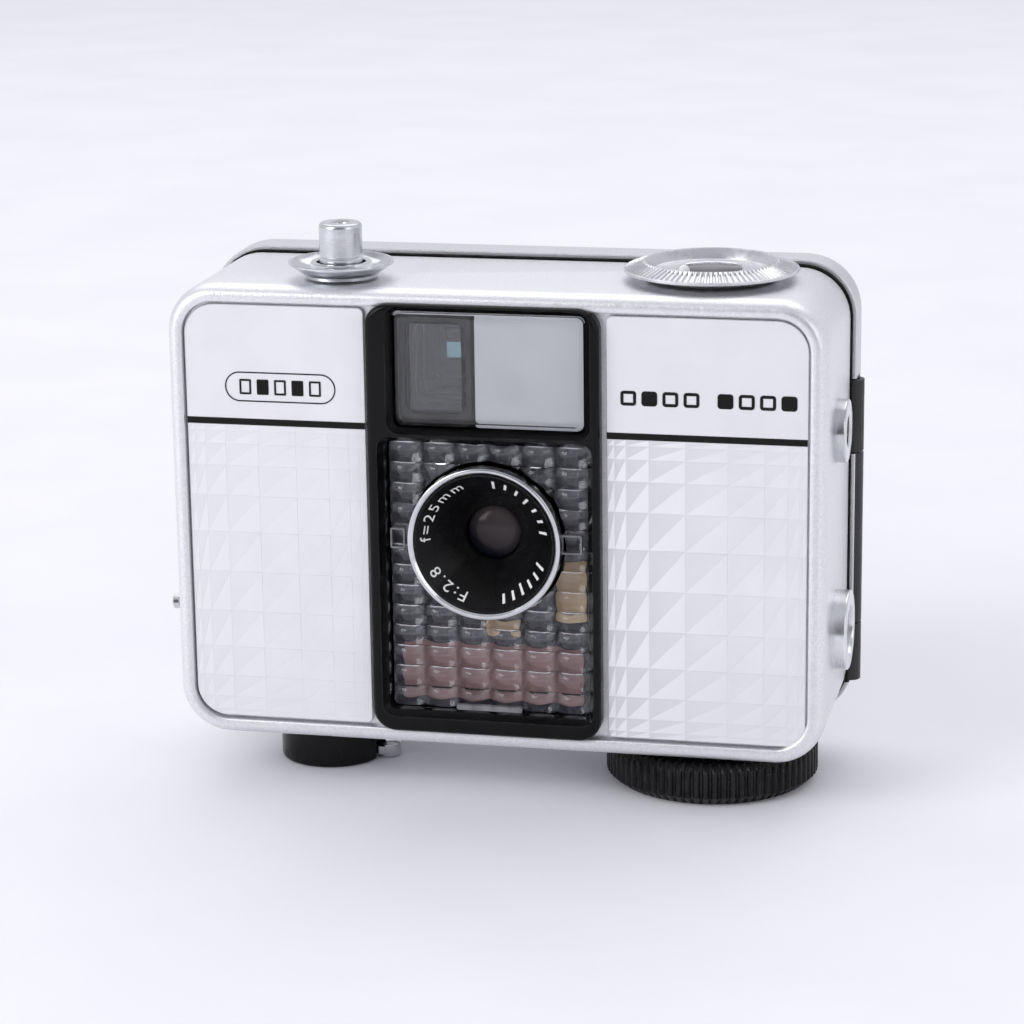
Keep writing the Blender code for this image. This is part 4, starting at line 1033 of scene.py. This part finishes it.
def back_door():
    """The cover: rounded edges, a hollow inside, its hinge knuckle and a leather-grain back."""
    low, high = span("back_door")
    half_w, half_h = -low.x, high.z
    front, back = low.y, high.y
    r = DOOR_ROUNDING
    inside = back - 1.6
    profile = [(DOOR_WALL, inside), (DOOR_WALL, front), (0.15, front), (0, front + 0.15), (0, back - r)]
    profile += [(r * (1 - math.cos(t)), back - r + r * math.sin(t)) for t in quarter(8)]
    rings = front_rings(lambda inset: centred(half_w - inset, half_h - inset, DOOR_CORNER - inset), profile)
    door = piece("back_cover", loft(rings, True, True),
                 satin_silver("cover_silver", (0.66, 0.66, 0.685)), "door", ("back_door",), angle=40)
    leaf_low, leaf_high = span("hinge_leaf")
    low_end, high_end = HINGE_SPLITS[0] + 0.15, HINGE_SPLITS[1] - 0.15
    y0, y1, z0, z1 = LATCH_SLOT
    carve(door, joined(*[prism("Y", rounded(40.0, 46.0, *ends, 0.2, 3), front - 1, front + 3.6)
                         for ends in ((high_end, leaf_high.z + 0.3), (leaf_low.z - 0.3, low_end))]),
          eye_hole(), prism("X", [(y0, z0), (y1, z0), (y1, z1), (y0, z1)], -45, -40.5))
    sheet = prism("Y", centred(half_w - 1.4, half_h - 1.4, 5.8), inside - 0.1, inside - 0.01)
    black = satin_black("door_inner_black", (0.5, 0.7), 0.008, 0.4, 0.02, 0.25)
    carve(piece("door_lining", sheet, black, "door"), eye_hole())
    seal = outline_band(centred(SHELL_HIGH.x + 0.2, SHELL_HIGH.z + 0.2, 6.7), 1.6, SHELL_HIGH.y + 0.12,
                        span("light_seal")[1].y + 0.25)
    piece("seal_band", seal, satin_black("seal_foam", (0.7, 0.9), 0.004, 0.3, 0.08, 0.1),
          replaces=("light_seal",))
    leather = Finish("leather_grain", 0.45)
    leather.colours((0.026, 0.026, 0.028), (0.036, 0.036, 0.038), 2).rough(0.38, 0.5, 0.5)
    leather.pebbles(0.9, 0.16, 1.0).set(Specular_IOR_Level=0.4)
    hide_w, hide_h = half_w - HIDE_BORDER, half_h - HIDE_BORDER
    rings = front_rings(lambda inset: centred(hide_w - inset, hide_h - inset, 4.5 - inset, 10),
                        ((0, back - 0.2), (0, back + 0.12), (0.15, back + 0.25)))
    hide = piece("door_leather", loft(rings, True, True), leather.material, "door", angle=50)
    frame_box = span("eyepiece_frame")
    carve(hide, prism("Y", around(*frame_box, 0.25, 0.8, 5), back - 1, back + 1), angle=50)
    hinge = circle(leaf_high.x - HINGE_RADIUS, leaf_high.y - HINGE_RADIUS, HINGE_RADIUS, 40)
    piece("door_barrel", prism("Z", hinge, low_end, high_end),
          satin_black("hinge_black", (0.25, 0.4), 0.015), "door")


# ---- everything else keeps its CAD shape ----
def carried_over():
    steel = machined("turned_steel", (0.55, 0.55, 0.57), "Z")
    brass = machined("turned_brass", (0.62, 0.45, 0.20), "Z")
    casting = satin_black("casting_black", (0.5, 0.7), 0.02, 0.5, 0.05)
    enamel = satin_black("enamel_black", (0.35, 0.5), 0.012, 0.4, 0.02)
    white = paint("counter_white", (0.70, 0.70, 0.68), (0.78, 0.78, 0.76), (0.4, 0.5))
    insulator = paint("socket_insulator", (0.42, 0.38, 0.32), (0.52, 0.48, 0.42), (0.4, 0.55), 1.0)
    by_material = (
        (FINDER_CLEAR, "finder_front_lens"),
        (GLASS, "middle_element", "rear_element", "eyepiece_lens"),
        (steel, "meter_movement", "casting_screw_1", "casting_screw_2", "release_bar", "winding_shaft",
         "mainspring", "film_sprocket", "knob_screw", "rewind_fork", "crank_pin", "hinge_pin",
         "pressure_spring", "shutter_blade_left", "shutter_blade_right"),
        (brass, "meter_needle", "dial_hub", "spool_gear", "sprocket_gear"),
        (casting, "main_casting"),
        (enamel, "lens_barrel", "shutter_housing", "shutter_cover", "pressure_plate", "takeup_spool",
         "hinge_leaf", "eyepiece_frame"),
        (white, "counter_disc"), (insulator, "sync_core"),
        (CHROME, "strap_stud", "door_latch"))
    for material, *names in by_material:
        for name in names:
            mesh = frame["nodes"][name].data
            mesh.materials.clear()
            mesh.materials.append(material)


# ---- stage, light and camera ----
YAW, PITCH, ROLL = math.radians(12.594), math.radians(14.944), math.radians(-0.772)
DISTANCE, SIDE, RISE = 418.684, 2.418, 1.625  # millimetres back, right and up, in the view
LENS_MM, SENSOR_MM = 116.16, 36.0


def camera():
    """The view, from a little to the right and above."""
    back = Vector((math.sin(YAW) * math.cos(PITCH), -math.cos(YAW) * math.cos(PITCH), math.sin(PITCH)))
    right = Vector((math.cos(YAW), math.sin(YAW), 0))
    up = right.cross(-back)
    rolled_right = right * math.cos(ROLL) + up * math.sin(ROLL)
    rolled_up = up * math.cos(ROLL) - right * math.sin(ROLL)
    place = world(rolled_right * SIDE + rolled_up * RISE + back * DISTANCE)
    data = bpy.data.cameras.new("view")
    data.lens = LENS_MM
    data.sensor_width = SENSOR_MM
    data.clip_start = 0.01
    obj = bpy.data.objects.new("view", data)
    obj.matrix_world = Matrix((
        (rolled_right.x, rolled_up.x, back.x, place.x),
        (rolled_right.y, rolled_up.y, back.y, place.y),
        (rolled_right.z, rolled_up.z, back.z, place.z),
        (0, 0, 0, 1)))
    bpy.context.scene.collection.objects.link(obj)
    bpy.context.scene.camera = obj


def area_light(name, place, aim, size, power, colour=(1, 1, 1)):
    data = bpy.data.lights.new(name, "AREA")
    data.shape = "RECTANGLE"
    data.size, data.size_y = size
    data.energy = power
    data.color = colour
    obj = bpy.data.objects.new(name, data)
    obj.location = place
    obj.rotation_euler = (Vector(aim) - Vector(place)).to_track_quat("-Z", "Y").to_euler()
    bpy.context.scene.collection.objects.link(obj)


FLOOR_HALF = 8.0  # metres
SKY_DARK = 0.12  # the strength of the sky low down and in front


def studio():
    sweep = Finish("pale_sweep", 0.7)
    sweep.colours((0.90, 0.897, 0.93), (0.925, 0.922, 0.95), 40)
    sweep.bump(0.8, 0.03, 0.2)
    bm = bmesh.new()
    bm.faces.new([bm.verts.new((x * FLOOR_HALF, y * FLOOR_HALF, 0))
                  for x, y in ((-1, -1), (1, -1), (1, 1), (-1, 1))])
    mesh = bpy.data.meshes.new("sweep")
    bm.to_mesh(mesh)
    bm.free()
    mesh.materials.append(sweep.material)
    mesh.shade_smooth()
    obj = bpy.data.objects.new("sweep", mesh)
    bpy.context.scene.collection.objects.link(obj)

    sky = bpy.data.worlds.new("studio")
    sky.use_nodes = True
    tree = sky.node_tree
    background = tree.nodes["Background"]
    background.inputs["Color"].default_value = (0.94, 0.94, 1.0, 1)
    place = tree.nodes.new("ShaderNodeTexCoord")
    split = tree.nodes.new("ShaderNodeSeparateXYZ")
    tree.links.new(place.outputs["Generated"], split.inputs["Vector"])
    sideways = math_node(tree, "ABSOLUTE", split.outputs["X"])
    above = map_range(tree, split.outputs["Z"], 0.15, 0.9, SKY_DARK, 0.66)
    behind = map_range(tree, split.outputs["Y"], -0.3, 0.5, SKY_DARK, 0.80)
    beside = map_range(tree, sideways, 0.5, 0.85, SKY_DARK, 0.88)
    brightest = math_node(tree, "MAXIMUM", math_node(tree, "MAXIMUM", above, behind), beside)
    tree.links.new(brightest, background.inputs["Strength"])
    bpy.context.scene.world = sky
    area_light("overhead", (-0.1, 0.55, 1.0), (0, 0.05, 0), (1.4, 1.0), 4.1, (1.0, 0.99, 1.0))
    area_light("front_left", (-0.75, -0.75, 0.55), (0, 0, 0.03), (0.7, 0.7), 6.2, (0.97, 0.98, 1.0))
    area_light("front_right", (0.85, -0.55, 0.45), (0, 0, 0.03), (0.5, 0.7), 1.2)
    bpy.context.scene.view_settings.view_transform = "Standard"


front_shell()
front_panels()
centre_frame()
finder()
lens_array()
light_cell()
lens()
engravings()
badges()
shutter_button()
button_spring()
top_dial()
winding_knob()
rewind_knob()
sockets()
back_door()
carried_over()
camera()
studio()
